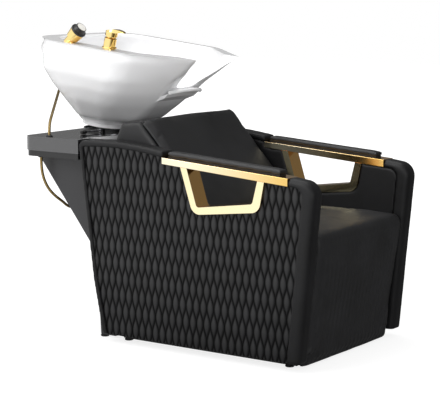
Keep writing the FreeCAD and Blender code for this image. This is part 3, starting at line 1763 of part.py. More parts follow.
def waste_parts():
    stand = basin_stand * Placement(Vector(0, bowl_drain_place.value, bowl_floor.value), Rotation())
    flange = [
        (drain_radius * 0.25, nothing),
        (drain_radius * 1.5, nothing),
        (drain_radius * 1.35, edge_soft * 1.2),
        (drain_radius, edge_soft * 1.2),
        (drain_radius * 0.8, edge_soft * 0.4),
        (drain_radius * 0.25, edge_soft * 0.4),
    ]
    turned("waste_flange", flange, stand)
    low = -tail_length
    tail = [
        (drain_radius * 0.8, low),
        (drain_radius * 0.92, low),
        (drain_radius * 0.92, nothing),
        (drain_radius * 0.8, nothing),
    ]
    turned("waste_tail", tail, stand)
    nut = [
        (drain_radius * 0.92, -basin_wall - tail_nut_height),
        (drain_radius * 1.6, -basin_wall - tail_nut_height),
        (drain_radius * 1.6, -basin_wall),
        (drain_radius * 0.92, -basin_wall),
    ]
    turned("waste_nut", nut, stand)


tail_length = size("tail_length", 150)
tail_nut_height = size("tail_nut_height", 12)

# Hose routes, chosen by hand: x, then y and z from the hinge line and the deck top.
# Each end runs straight out of its bush first, by the hose lead.
upper_route = (
    (-21.9, 244.2, 164.6),
    (-39.5, 253.0, 152.8),
    (-60.1, 250.7, 142.8),
    (-93.7, 227.3, 132.7),
    (-143.0, 193.3, 116.8),
    (-198.7, 155.2, 98.0),
    (-254.7, 118.5, 75.1),
    (-299.5, 91.6, 50.4),
)
lower_route = (
    (-303.0, 128.0, -128.5),
    (-299.0, 121.0, -159.5),
    (-288.0, 110.0, -190.5),
    (-268.0, 98.0, -215.5),
    (-241.0, 89.0, -236.5),
    (-210.0, 89.0, -258.5),
    (-191.5, 77.9, -262.8),
)


def hose(name, start, route, end):
    """Tube along straight runs joined by tangent arcs, square to the bush at either end."""
    tip = Vector(0, 0, bush_length.value)
    lead = Vector(0, 0, (bush_length + hose_lead).value)
    datum = Vector(0, pivot_place.value, deck_top.value)
    corners = [start.multVec(tip), start.multVec(lead)]
    corners += [datum + Vector(*point) for point in route]
    corners += [end.multVec(lead), end.multVec(tip)]
    radius = hose_radius.value
    pieces = []
    length = 0.0
    here = corners[0]
    for k in range(1, len(corners)):
        way = (corners[k] - corners[k - 1]).normalize()
        if k == len(corners) - 1:
            pieces.append(Part.makeCylinder(radius, (corners[k] - here).Length, here, way))
            length += (corners[k] - here).Length
            continue
        ahead = (corners[k + 1] - corners[k]).normalize()
        turn = way.getAngle(ahead)
        reach = bend_share * min((corners[k] - corners[k - 1]).Length, (corners[k + 1] - corners[k]).Length)
        bend = reach / math.tan(turn / 2)
        start = corners[k] - way * reach
        inward = (ahead - way * way.dot(ahead)).normalize()
        centre = start + inward * bend
        pieces.append(Part.makeCylinder(radius, (start - here).Length, here, way))
        disc = Part.Face(Part.Wire(Part.Circle(start, way, radius).toShape()))
        pieces.append(disc.revolve(centre, way.cross(ahead), math.degrees(turn)))
        length += (start - here).Length + bend * turn
        here = corners[k] + ahead * reach
        print(name, "bend", k, "at", [round(v, 1) for v in corners[k]], "radius", round(bend, 1))
    tube = pieces[0].multiFuse(pieces[1:])
    section = math.pi * radius ** 2
    print(name, "length", round(length, 1), "volume share", round(tube.Volume / (section * length), 4))
    return solid_feature(name, one_solid(tube))


def make_hoses():
    basin_out = basin_stand * hose_start_stand * Placement(Vector(0, 0, joint_gap.value), Rotation())
    bush("basin_hose_bush", basin_out, basin_wall * 2)
    down = Rotation(Vector(0, 0, 1), Vector(0, 0, -1))
    entry = Placement(Vector(hose_entry[0].value, hose_entry[1].value, deck_top.value), Rotation())
    bush("deck_entry_bush", entry, deck_wall * 2)
    exit_place = Placement(Vector(hose_exit[0].value, hose_exit[1].value, deck_bottom.value), down)
    bush("deck_exit_bush", exit_place, deck_lip)
    port = slope_stand(-hose_port_half.value, hose_port_height, 0)
    bush("housing_bush", port, housing_wall)
    hose("hose_upper", basin_out, upper_route, entry)
    hose("hose_lower", exit_place, lower_route, port)


def build():
    for side, sign in (("left", -1), ("right", 1)):
        make_side(side, sign)
    seat_base()
    seat_cushion()
    backrest_frame()
    backrest_cushion()
    deck_shell()
    deck_board()
    deck_underplate()
    make_housing()
    make_feet()
    tilt_base()
    tilt_pin()
    tilt_cradle()
    tilt_buffers()
    base_bolts()
    lock_parts()
    solid_feature("basin", basin_solid(), basin_stand)
    waste_parts()
    mixer_parts()
    handset_parts()
    make_hoses()


def export():
    """Check every object and write each sub-part to its own file."""
    doc.recompute()
    for item in doc.Objects:
        if any(word in item.State for word in ("Invalid", "Error")):
            raise RuntimeError("%s is %s" % (item.Label, item.State))
    os.makedirs("parts", exist_ok=True)
    for name, item in sorted(nodes.items()):
        shape = item.Shape
        if shape.isNull() or not shape.isValid():
            raise RuntimeError("%s has no valid shape" % name)
        shape.exportStep("parts/%s.step" % name)
        box = shape.BoundBox
        print("%-22s solids %d volume %.0f box %s" % (
            name, len(shape.Solids), shape.Volume,
            [round(v, 1) for v in (box.XMin, box.YMin, box.ZMin, box.XMax, box.YMax, box.ZMax)],
        ))


build()
export()
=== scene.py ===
import json
import math

import bmesh
import bpy
from mathutils import Matrix, Vector, noise
from mathutils.kdtree import KDTree

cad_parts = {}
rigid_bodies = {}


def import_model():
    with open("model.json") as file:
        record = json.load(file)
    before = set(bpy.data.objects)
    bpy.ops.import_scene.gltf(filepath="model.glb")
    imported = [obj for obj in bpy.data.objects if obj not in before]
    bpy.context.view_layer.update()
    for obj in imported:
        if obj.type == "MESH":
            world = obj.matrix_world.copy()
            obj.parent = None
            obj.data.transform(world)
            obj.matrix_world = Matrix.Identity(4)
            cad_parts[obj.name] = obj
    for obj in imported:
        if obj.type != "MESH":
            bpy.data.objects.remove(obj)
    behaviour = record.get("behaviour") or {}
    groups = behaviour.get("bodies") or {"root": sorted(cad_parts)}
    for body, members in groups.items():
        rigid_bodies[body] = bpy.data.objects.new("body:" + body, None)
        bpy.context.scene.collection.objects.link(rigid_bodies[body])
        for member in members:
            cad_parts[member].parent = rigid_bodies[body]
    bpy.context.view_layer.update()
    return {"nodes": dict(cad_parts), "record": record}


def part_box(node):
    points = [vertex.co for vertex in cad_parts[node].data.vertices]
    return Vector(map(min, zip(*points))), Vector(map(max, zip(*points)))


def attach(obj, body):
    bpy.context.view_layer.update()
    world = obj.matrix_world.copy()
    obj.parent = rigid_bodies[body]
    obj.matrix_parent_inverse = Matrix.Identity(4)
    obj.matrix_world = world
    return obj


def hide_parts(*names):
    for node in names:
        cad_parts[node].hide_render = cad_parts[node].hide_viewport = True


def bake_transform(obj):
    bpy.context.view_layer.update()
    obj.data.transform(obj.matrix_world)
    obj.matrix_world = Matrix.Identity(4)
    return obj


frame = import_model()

nodes = frame["nodes"]
MM = 0.001

# Camera, measured in the photograph
CAMERA_PLACE = (-4.47363, -3.11952, 1.25536)
CAMERA_RIGHT = (0.56894, -0.82238, 0.00111)
CAMERA_AHEAD = (0.81382, 0.56282, -0.14468)
LENS_MM = 129.45
SENSOR_MM = 36

# Leather, with lengths in metres unless a name says otherwise
PEBBLE_MM = 2.4
QUILT_GLEAM = 0.46
STITCH = 0.006
PLEAT_WIDTH = 0.025
PLEAT_DRIFT = 0.012

# Quilting: wavy upright seams that enclose leaves; the sway is a share of half a leaf's width
LEAF_WIDTH = 0.028
LEAF_HEIGHT = 0.112
LEAF_SWAY = 0.47
LEAF_RISE = 0.0130
SEAM_DEPTH = 0.0095
SKIN_DEPTH = 0.004
EDGE_BAND = 0.012
EDGE_RISE = 0.25
QUILT_VOXEL_MM = 2.6
QUILT_SQUEEZE = 0.5

# Cushions
CLOTH_FRAMES = 20
RIPPLE = 0.0008
SEAT_HEM = 0.03
SEAT_BACK_EDGE = 0.01
SEAT_CROWN = 0.006

# Fittings
HANDSET_AXIS = Vector((0, -0.7431, 0.6691))
NOZZLE_RINGS = ((0.0, 1), (0.0048, 6), (0.0095, 12), (0.0136, 18))

# Hoses: their radius, and the corners of both routes
HOSE_RADIUS = 0.005
UPPER = (
    (-0.0118, 0.6034, 0.8714), (-0.0118, 0.6225, 0.8654), (-0.0219, 0.6392, 0.8551),
    (-0.0395, 0.6480, 0.8433), (-0.0601, 0.6457, 0.8333), (-0.0937, 0.6223, 0.8232),
    (-0.1430, 0.5883, 0.8073), (-0.1987, 0.5502, 0.7885), (-0.2547, 0.5135, 0.7656),
    (-0.2995, 0.4866, 0.7409), (-0.3180, 0.4740, 0.7165), (-0.3180, 0.4740, 0.6965),
)
LOWER = (
    (-0.3040, 0.5250, 0.6145), (-0.3040, 0.5250, 0.5945), (-0.3030, 0.5230, 0.5620),
    (-0.2990, 0.5160, 0.5310), (-0.2880, 0.5050, 0.5000), (-0.2680, 0.4930, 0.4750),
    (-0.2410, 0.4840, 0.4540), (-0.2100, 0.4840, 0.4320), (-0.1915, 0.4729, 0.4277),
    (-0.1800, 0.4528, 0.4353), (-0.1800, 0.4371, 0.4477),
)

# Where the large softbox stands, seen from the chair
BRIGHT_SIDE = (-0.8, 0.6, 0)

# CAD nodes whose look differs from their slot's: in the photograph the nose is one black ring with the grip
OVERRIDES = {"handset_nose": "black_plastic", "arm_rail_left": "gold_rail", "arm_rail_right": "gold_rail"}


# Camera at the photograph's viewpoint
def make_camera():
    data = bpy.data.cameras.new("camera")
    data.sensor_width = SENSOR_MM
    data.lens = LENS_MM
    data.clip_end = 60
    camera = bpy.data.objects.new("camera", data)
    bpy.context.scene.collection.objects.link(camera)
    right = Vector(CAMERA_RIGHT).normalized()
    ahead = Vector(CAMERA_AHEAD).normalized()
    up = right.cross(ahead).normalized()
    turn = Matrix((right, up, -ahead)).transposed().to_4x4()
    camera.matrix_world = Matrix.Translation(Vector(CAMERA_PLACE)) @ turn
    bpy.context.scene.camera = camera


# Colours and shader nodes
def linear(code):
    """An sRGB hex colour as linear red, green, blue, alpha."""
    out = []
    for k in (0, 2, 4):
        value = int(code[k:k + 2], 16) / 255
        out.append(value / 12.92 if value <= 0.04045 else ((value + 0.055) / 1.055) ** 2.4)
    return (*out, 1.0)


def add(tree, kind, settings=None, values=None, links=None):
    """Adds one shader node with its settings, socket values and links."""
    node = tree.nodes.new("ShaderNode" + kind)
    for name, value in (settings or {}).items():
        setattr(node, name, value)
    for name, value in (values or {}).items():
        node.inputs[name].default_value = value
    for name, source in (links or {}).items():
        tree.links.new(source, node.inputs[name])
    return node


def new_material(name, colour, rough, metallic=0.0, sockets=None):
    material = bpy.data.materials.new(name)
    material.use_nodes = True
    tree = material.node_tree
    shader = tree.nodes["Principled BSDF"]
    shader.inputs["Base Color"].default_value = linear(colour)
    shader.inputs["Roughness"].default_value = rough
    shader.inputs["Metallic"].default_value = metallic
    for socket, value in (sockets or {}).items():
        shader.inputs[socket].default_value = value
    return material, tree, shader


def place_on(tree, scale=(1, 1, 1)):
    """The place on the object in metres, so that a pattern keeps its real size."""
    where = add(tree, "TexCoord")
    return add(tree, "Mapping", None, {"Scale": scale}, {"Vector": where.outputs["Object"]}).outputs["Vector"]


def noise_of(tree, place, scale, detail):
    return add(tree, "TexNoise", None, {"Scale": scale, "Detail": detail}, {"Vector": place}).outputs["Fac"]


def maths(tree, operation, *inputs):
    """The result of one Math node, whose inputs are numbers or other nodes' outputs."""
    numbers = {k: item for k, item in enumerate(inputs) if isinstance(item, (int, float))}
    links = {k: item for k, item in enumerate(inputs) if k not in numbers}
    return add(tree, "Math", {"operation": operation}, numbers, links).outputs[0]


def ramp(tree, value, start, end, low=0.0, high=1.0, smooth=False):
    """The value's way from start to end, mapped to low and high."""
    settings = {"interpolation_type": "SMOOTHSTEP"} if smooth else None
    numbers = {"From Min": start, "From Max": end, "To Min": low, "To Max": high}
    return add(tree, "MapRange", settings, numbers, {"Value": value}).outputs["Result"]


def two_tone(tree, shader, dark, light, share):
    tone = add(tree, "Mix", {"data_type": "RGBA"}, {"A": linear(dark), "B": linear(light)}, {"Factor": share})
    tree.links.new(tone.outputs["Result"], shader.inputs["Base Color"])


def relief(tree, shader, strength, distance, height):
    """A bump on the shader, over the bump that it already has."""
    normal = shader.inputs["Normal"]
    links = {"Height": height}
    if normal.is_linked:
        links["Normal"] = normal.links[0].from_socket
    bump = add(tree, "Bump", None, {"Strength": strength, "Distance": distance}, links)
    tree.links.new(bump.outputs["Normal"], normal)


def mix_shaders(tree, share, first, second):
    return add(tree, "MixShader", None, None, {0: share, 1: first, 2: second}).outputs["Shader"]


# Materials
def leather(name, colour, light, rough, crease, gleam=0.5):
    """PU leather, embossed and matt-lacquered: a soft sheen broken by pebble grain and faint creases."""
    material, tree, shader = new_material(name, colour, rough, sockets={"Specular IOR Level": gleam})
    place = place_on(tree)
    grain = add(tree, "TexVoronoi", {"feature": "SMOOTH_F1"},
                {"Scale": 1 / (PEBBLE_MM * MM), "Smoothness": 0.6}, {"Vector": place})
    fold = add(tree, "TexNoise", None, {"Scale": 3.5, "Detail": 5, "Roughness": 0.6},
               {"Vector": place_on(tree, (6, 6, 1.5))})
    cloud = noise_of(tree, place, 9, 3)
    tone = add(tree, "ValToRGB", None, None, {"Fac": cloud})
    tone.color_ramp.elements[0].position = 0.3
    tone.color_ramp.elements[0].color = linear(colour)
    tone.color_ramp.elements[1].position = 0.75
    tone.color_ramp.elements[1].color = linear(light)
    tree.links.new(tone.outputs["Color"], shader.inputs["Base Color"])
    tree.links.new(ramp(tree, cloud, 0, 1, rough - 0.06, rough + 0.08), shader.inputs["Roughness"])
    relief(tree, shader, crease, 0.004, fold.outputs["Fac"])
    relief(tree, shader, 0.25, 0.0004, grain.outputs["Distance"])
    return material


def quilted_leather(name, colour, light, rough):
    """The same PU leather, quilted, with painted shade: toward each seam the colour darkens to near black and
    the gleam drops; thread shows in stitches.
    """
    material = leather(name, colour, light, rough, 0.10)
    tree = material.node_tree
    shader = tree.nodes["Principled BSDF"]
    where = add(tree, "TexCoord")
    parts = add(tree, "SeparateXYZ", None, None, {"Vector": where.outputs["Object"]})
    across = maths(tree, "DIVIDE", parts.outputs["Y"], LEAF_WIDTH / 2)
    turn = maths(tree, "MULTIPLY", parts.outputs["Z"], 2 * math.pi / LEAF_HEIGHT)
    sway = maths(tree, "MULTIPLY", maths(tree, "COSINE", turn), LEAF_SWAY)
    to_even = maths(tree, "PINGPONG", maths(tree, "SUBTRACT", across, sway), 1)
    mirrored = maths(tree, "ADD", maths(tree, "ADD", across, sway), 1)
    gap = maths(tree, "MINIMUM", to_even, maths(tree, "PINGPONG", mirrored, 1))
    # painted shade: the seams are painted near black (040404), shading in over each leaf, and the gleam is
    # scaled by the same mask
    shade = ramp(tree, gap, -0.10, 0.75, 0.05, 1.1, smooth=True)
    leaf_colour = shader.inputs["Base Color"].links[0].from_socket
    tone = add(tree, "Mix", {"data_type": "RGBA"}, {"A": linear("040404")},
               {"Factor": shade, "B": leaf_colour})
    tree.links.new(tone.outputs["Result"], shader.inputs["Base Color"])
    tree.links.new(maths(tree, "MULTIPLY", shade, QUILT_GLEAM), shader.inputs["Specular IOR Level"])
    in_seam = maths(tree, "LESS_THAN", gap, 0.07)
    beat = maths(tree, "PINGPONG", maths(tree, "DIVIDE", parts.outputs["Z"], STITCH), 0.5)
    in_stitch = maths(tree, "GREATER_THAN", beat, 0.15)
    relief(tree, shader, 0.35, 0.0006, maths(tree, "MULTIPLY", in_seam, in_stitch))
    return material


def pleated_leather(name, colour, light, rough, gleam):
    """The same PU leather, gathered on the seat's front: upright pleats that fade toward the top."""
    material = leather(name, colour, light, rough, 0.16, gleam)
    tree = material.node_tree
    shader = tree.nodes["Principled BSDF"]
    place = place_on(tree)
    parts = add(tree, "SeparateXYZ", None, None, {"Vector": place})
    drift = maths(tree, "MULTIPLY", noise_of(tree, place, 5, 2), PLEAT_DRIFT)
    across = maths(tree, "ADD", parts.outputs["X"], drift)
    wave = maths(tree, "SINE", maths(tree, "MULTIPLY", across, 2 * math.pi / PLEAT_WIDTH))
    on_front = ramp(tree, parts.outputs["Y"], -0.47, -0.56, smooth=True)
    below_top = ramp(tree, parts.outputs["Z"], 0.45, 0.30, smooth=True)
    share = maths(tree, "MULTIPLY", on_front, below_top)
    relief(tree, shader, 0.5, 0.0012, maths(tree, "MULTIPLY", wave, share))
    return material


def polished_gold(name, colour, painted_dim_colour, rough, front_colour=None):
    """Gold-plated brass with painted reflection: faces turned to either side are painted pale and bright, for
    the bright studio they mirror, and the rest a deeper gold, for the dark chair they mirror; where
    front_colour is given, the colour shifts to it toward the front.
    """
    material, tree, shader = new_material(name, colour, rough, 1.0)
    place = place_on(tree)
    haze = noise_of(tree, place, 35, 4)
    shape = add(tree, "NewGeometry")
    turn = add(tree, "VectorMath", {"operation": "DOT_PRODUCT"}, {1: (1, 0, 0)},
               {0: shape.outputs["True Normal"]})
    # painted reflection: faces turned to either side take the bright colour, all other faces the darker gold
    painted_glare_share = ramp(tree, maths(tree, "ABSOLUTE", turn.outputs["Value"]), 0.55, 0.85)
    parts = add(tree, "SeparateXYZ", None, None, {"Vector": place})
    forward = ramp(tree, parts.outputs["Y"], -0.12, -0.50)
    pale = add(tree, "Mix", {"data_type": "RGBA"}, {"A": linear(colour), "B": linear(front_colour or colour)},
               {"Factor": forward})
    tone = add(tree, "Mix", {"data_type": "RGBA"}, {"A": linear(painted_dim_colour)},
               {"Factor": painted_glare_share, "B": pale.outputs["Result"]})
    tree.links.new(tone.outputs["Result"], shader.inputs["Base Color"])
    tree.links.new(ramp(tree, haze, 0, 1, rough * 0.8, rough * 1.3), shader.inputs["Roughness"])
    relief(tree, shader, 0.04, 0.002, haze)
    return material


def speckled(name, colour, light, rough, metallic, grit_mm, depth):
    """Moulded, painted or rubbed surface: fine grit in the bump and a slight drift of tone."""
    material, tree, shader = new_material(name, colour, rough, metallic)
    place = place_on(tree)
    two_tone(tree, shader, colour, light, noise_of(tree, place, 6, 2))
    relief(tree, shader, depth, 0.0005, noise_of(tree, place, 1 / (grit_mm * MM), 3))
    return material


def glazed_ceramic(name):
    """Vitreous china, glazed: white body under a clear glossy coat, with a barely uneven surface."""
    coat = {"Coat Weight": 0.7, "Coat Roughness": 0.04}
    material, tree, shader = new_material(name, "F5F5F6", 0.25, sockets=coat)
    relief(tree, shader, 0.05, 0.004, noise_of(tree, place_on(tree), 7, 2))
    return material


def gloss_lacquer(name):
    """Acrylic-faced board, polished: black and very glossy, with a trace of orange peel."""
    coat = {"Coat Weight": 1.0, "Coat Roughness": 0.05, "Specular IOR Level": 0.8}
    material, tree, shader = new_material(name, "2A2A2C", 0.12, sockets=coat)
    relief(tree, shader, 0.05, 0.001, noise_of(tree, place_on(tree), 90, 2))
    return material


def stained_plywood(name):
    """Birch plywood, stained black: its layers show edge-on as faint bands where a cover leaves a gap."""
    material, tree, shader = new_material(name, "0F0E0D", 0.7)
    ply = add(tree, "TexWave", {"bands_direction": "X"}, {"Scale": 60, "Distortion": 1.5, "Detail": 2},
              {"Vector": place_on(tree)})
    two_tone(tree, shader, "0B0A0A", "161412", ply.outputs["Fac"])
    return material


def hose_metal(name):
    """Interlocked metal strip, bronze finished: fine rings across the hose, set by the curve's own length,
    with painted shade: each ring's hollow is painted darker and its crest lighter, in step with the bump.
    """
    material, tree, shader = new_material(name, "8F7A4E", 0.3, 0.9)
    where = add(tree, "TexCoord")
    rings = add(tree, "TexWave", {"bands_direction": "X"}, {"Scale": 30, "Distortion": 0},
                {"Vector": where.outputs["UV"]})
    # painted shade: darker tone in the ring hollows, lighter on the crests
    two_tone(tree, shader, "6A5732", "B49B66", rings.outputs["Fac"])
    relief(tree, shader, 0.5, 0.0008, rings.outputs["Fac"])
    return material


def make_looks():
    return {
        "quilted_cover": quilted_leather("pu_leather_quilted", "161617", "1E1E20", 0.38),
        "smooth_cover": leather("pu_leather_smooth", "0F0F10", "151517", 0.50, 0.10, 0.32),
        "cushion_cover": leather("pu_leather_soft", "151516", "1C1C1E", 0.48, 0.16),
        "seat": pleated_leather("pu_leather_pleated", "1A1A1B", "222224", 0.56, 0.4),
        "plywood": stained_plywood("birch_plywood_stained"),
        # the gold looks carry painted reflection: bright faces to either side, a deeper gold on the rest
        "gold_metal": polished_gold("gold_plated_brass_buffed", "FDF0C4", "F2C078", 0.12),
        "gold_rail": polished_gold("gold_plated_rail_buffed", "FDF4D6", "F2C078", 0.12, "EBC475"),
        "gold_fittings": polished_gold("gold_plated_fittings_buffed", "F6DC94", "EBC16A", 0.10),
        "spray": speckled("abs_white_moulded", "E4E2DC", "EDEBE6", 0.35, 0.0, 1.2, 0.05),
        "deck_gloss": gloss_lacquer("acrylic_board_black_gloss"),
        "black_plastic": speckled("abs_black_moulded", "161616", "1C1C1D", 0.38, 0.0, 1.2, 0.15),
        "housing_paint": speckled("steel_powder_coated_black", "2A2A2C", "303032", 0.42, 0.0, 1.4, 0.20),
        "tilt_metal": speckled("steel_painted_black_satin", "141415", "1B1B1C", 0.35, 0.2, 1.6, 0.15),
        "lock_steel": speckled("steel_satin_turned", "8C8C90", "A0A0A4", 0.30, 1.0, 1.0, 0.10),
        "steel_screws": speckled("steel_zinc_plated", "8A8D92", "A6A8AC", 0.35, 1.0, 1.0, 0.10),
        "ceramic_white": glazed_ceramic("vitreous_china_glazed"),
        "chrome_waste": speckled("brass_chrome_plated", "C8C8CC", "D4D4D8", 0.10, 1.0, 1.5, 0.03),
        "rubber_black": speckled("rubber_moulded_black", "141414", "1A1A1A", 0.60, 0.0, 1.5, 0.25),
        "hose_bronze": hose_metal("metal_hose_bronze"),
    }


def dress_nodes():
    slots = {entry["node"]: entry["material_slot"] for entry in frame["record"]["subparts"]}
    for name, node in nodes.items():
        node.data.materials.clear()
        node.data.materials.append(LOOKS[OVERRIDES.get(name, slots[name])])


# Mesh tools
def deselect():
    for item in bpy.context.selected_objects:
        item.select_set(False)


def only(piece):
    deselect()
    piece.select_set(True)
    bpy.context.view_layer.objects.active = piece


def copy_of(name, node_name):
    """A new piece with a CAD node's mesh, its doubled points merged."""
    mesh = bpy.data.meshes.new(name)
    shape = bmesh.new()
    shape.from_mesh(nodes[node_name].data)
    bmesh.ops.remove_doubles(shape, verts=shape.verts, dist=0.00005)
    shape.to_mesh(mesh)
    shape.free()
    piece = bpy.data.objects.new(name, mesh)
    bpy.context.scene.collection.objects.link(piece)
    return piece


def apply_modifier(piece, kind, **settings):
    only(piece)
    modifier = piece.modifiers.new(kind.lower(), kind)
    for name, value in settings.items():
        setattr(modifier, name, value)
    bpy.ops.object.modifier_apply(modifier=modifier.name)


def remesh(piece, size_mm):
    apply_modifier(piece, "REMESH", mode="VOXEL", voxel_size=size_mm * MM, adaptivity=0)


def soften(piece, rounds):
    apply_modifier(piece, "SMOOTH", factor=0.5, iterations=rounds)


def smooth_shading(piece, degrees=None):
    only(piece)
    if degrees is None:
        bpy.ops.object.shade_smooth()
    else:
        bpy.ops.object.shade_smooth_by_angle(angle=math.radians(degrees))


def push(piece, amount):
    """Moves every point along its normal; all normals are read first, because each move renews them."""
    starts = [(point.co.copy(), point.normal.copy()) for point in piece.data.vertices]
    for point, (place, normal) in zip(piece.data.vertices, starts):
        point.co = place + normal * amount(place)


def keep_inside(piece, axis, low, high):
    """Points past a neighbour's face go back to it."""
    for point in piece.data.vertices:
        point.co[axis] = min(max(point.co[axis], low), high)


def dress(piece, look, slot, *replaced):
    piece.data.materials.clear()
    piece.data.materials.append(LOOKS[look])
    if replaced:
        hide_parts(*replaced)


def joined(name, first, prefix):
    """The pieces whose names start alike, joined into the first one."""
    for item in bpy.context.scene.objects:
        item.select_set(item.name.startswith(prefix))
    first.select_set(True)
    bpy.context.view_layer.objects.active = first
    bpy.ops.object.join()
    first.name = name
    return first


# Quilted covers
def leaf(y, z):
    """Height of the quilting, from 0 in a seam to 1 on a leaf; each wavy seam is the next one's mirror."""
    across = y / (LEAF_WIDTH / 2)
    sway = LEAF_SWAY * math.cos(2 * math.pi * z / LEAF_HEIGHT)
    number = math.floor(across)
    seams = [k + (sway if k % 2 == 0 else -sway) for k in range(number - 1, number + 3)]
    left = max(seam for seam in seams if seam <= across)
    right = min(seam for seam in seams if seam > across)
    width = (right - left) / (1 + 2 * LEAF_SWAY)
    return width ** 0.8 * math.sin(math.pi * (across - left) / (right - left)) ** 0.9


def quilt_cover(side, sign):
    """The cover's outer face, raised leaf by leaf; the squeeze makes the voxels as tall as the leaves need."""
    node = "side_quilt_" + side
    piece = copy_of("quilt_cover_" + side, node)
    for point in piece.data.vertices:
        point.co.z *= QUILT_SQUEEZE
    remesh(piece, QUILT_VOXEL_MM)
    for point in piece.data.vertices:
        point.co.z /= QUILT_SQUEEZE
    low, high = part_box(node)
    outside = low.x if sign < 0 else high.x
    walls = [point.co.copy() for point in piece.data.vertices if abs(point.co.x - outside) > SKIN_DEPTH]
    tree = KDTree(len(walls))
    for number, spot in enumerate(walls):
        tree.insert((0, spot.y, spot.z), number)
    tree.balance()
    for point in piece.data.vertices:
        if abs(point.co.x - outside) > SKIN_DEPTH:
            continue
        away = tree.find((0, point.co.y, point.co.z))[2]
        rise = min(away / EDGE_BAND, 1.0)
        rise = EDGE_RISE + (1 - EDGE_RISE) * rise * rise * (3 - 2 * rise)
        height = LEAF_RISE * leaf(point.co.y, point.co.z) * rise - SEAM_DEPTH
        point.co.x = outside + sign * height
    smooth_shading(piece)
    dress(piece, "quilted_cover", "quilted_cover", node)
    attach(piece, "chair")


# Smooth leather over board
def wrapped(name, node, look, voxel_mm, bulge_mm, relax=6):
    """Leather drawn over a board: corners eased, flats very slightly full."""
    piece = copy_of(name, node)
    remesh(piece, voxel_mm * (1))
    soften(piece, relax)
    bulge = bulge_mm * MM
    push(piece, lambda place: bulge * (0.6 + 0.5 * noise.noise(place * 14.0)
                                       + 0.2 * noise.noise(place * 40.0)))
    smooth_shading(piece)
    dress(piece, look, look, node)
    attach(piece, "chair")


# Cushions
def swell(piece, pressure, cap_mm, held):
    """Cloth pressure puffs the piece up; held tells which points stay, as on a board or in a seam."""
    blow_up(piece, pressure, cap_mm, held)
    apply_modifier(piece, "SUBSURF", levels=1)


def blow_up(piece, pressure, cap_mm, held):
    before = [point.co.copy() for point in piece.data.vertices]
    group = piece.vertex_groups.new(name="held")
    for point in piece.data.vertices:
        if held(point.co):
            group.add([point.index], 1.0, "REPLACE")
    only(piece)
    cloth = piece.modifiers.new("cloth", "CLOTH")
    settings = cloth.settings
    settings.use_pressure = True
    settings.uniform_pressure_force = pressure
    settings.vertex_group_mass = "held"
    settings.effector_weights.gravity = 0
    settings.quality = 4
    settings.tension_stiffness = 30
    settings.compression_stiffness = 30
    settings.bending_stiffness = 1.5
    cloth.point_cache.frame_start = 1
    cloth.point_cache.frame_end = CLOTH_FRAMES
    for number in range(1, CLOTH_FRAMES + 1):
        bpy.context.scene.frame_set(number)
    bpy.ops.object.modifier_apply(modifier="cloth")
    bpy.context.scene.frame_set(1)
    piece.vertex_groups.clear()
    cap = cap_mm * MM
    for point, start in zip(piece.data.vertices, before):
        shift = point.co - start
        if shift.length > cap:
            shift = shift * (cap / shift.length)
        point.co = start + shift


def cushion(name, node, look, voxel_mm, relax, pressure, cap_mm, held=lambda place: False, ripple=None,
            limits=()):
    """An upholstered piece: softened, blown up, faintly uneven, and kept within its limits along an axis."""
    piece = copy_of(name, node)
    remesh(piece, voxel_mm)
    soften(piece, relax)
    swell(piece, pressure, cap_mm, held)
    if ripple:
        push(piece, lambda place: RIPPLE * noise.noise(place * ripple))
    for axis, low, high in limits:
        keep_inside(piece, axis, low, high)
    smooth_shading(piece)
    dress(piece, look, "cushion_cover", node)
    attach(piece, "chair")


def seat_piece():
    low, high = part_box("seat_cushion")
    cushion("seat_pad", "seat_cushion", "seat", voxel_mm=9.0, relax=4, pressure=3.5, cap_mm=8.0,
            held=lambda place: place.z < SEAT_HEM or place.y > high.y - SEAT_BACK_EDGE, ripple=18.0,
            limits=((0, low.x, high.x), (2, low.z, high.z + SEAT_CROWN)))


def back_piece():
    low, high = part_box("backrest_cushion")
    cushion("back_pad", "backrest_cushion", "cushion_cover", voxel_mm=8.0, relax=4, pressure=3.5, cap_mm=7.0,
            ripple=16.0, limits=((0, low.x, high.x),))


def arm_pad_piece(side):
    cushion("arm_cushion_" + side, "arm_pad_" + side, "cushion_cover", voxel_mm=4.5, relax=3, pressure=3.0,
            cap_mm=1.5)


# Strainer over the waste: two rings and four bars, square to the flange's upper face
def waste_grid():
    low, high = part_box("waste_flange")
    centre = (low + high) / 2
    up = Vector((0, 0, 0))
    for face in nodes["waste_flange"].data.polygons:
        if face.normal.z > 0.95:
            up += face.normal * face.area
    turn = up.normalized().to_track_quat("Z", "Y").to_matrix().to_4x4()
    deselect()
    bpy.ops.mesh.primitive_torus_add(major_radius=0.0165, minor_radius=0.0013, major_segments=64,
                                     minor_segments=12)
    grid = bpy.context.active_object
    grid.name = "waste_grid"
    bpy.ops.mesh.primitive_torus_add(major_radius=0.0085, minor_radius=0.0012, major_segments=48,
                                     minor_segments=12)
    bpy.context.active_object.name = "Bar_ring"
    for k in range(4):
        spoke = Matrix.Rotation(math.pi * k / 4, 3, "Z").to_euler()
        bpy.ops.mesh.primitive_cube_add(size=1, scale=(0.033, 0.0018, 0.0018), rotation=spoke)
        bpy.context.active_object.name = "Bar_%d" % k
    joined("waste_grid", grid, "Bar")
    grid.data.transform(Matrix.Translation(centre + Vector((0, 0, 0.0005))) @ turn)
    smooth_shading(grid, 40)
    dress(grid, "chrome_waste", "chrome_waste")
    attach(grid, "basin_unit")


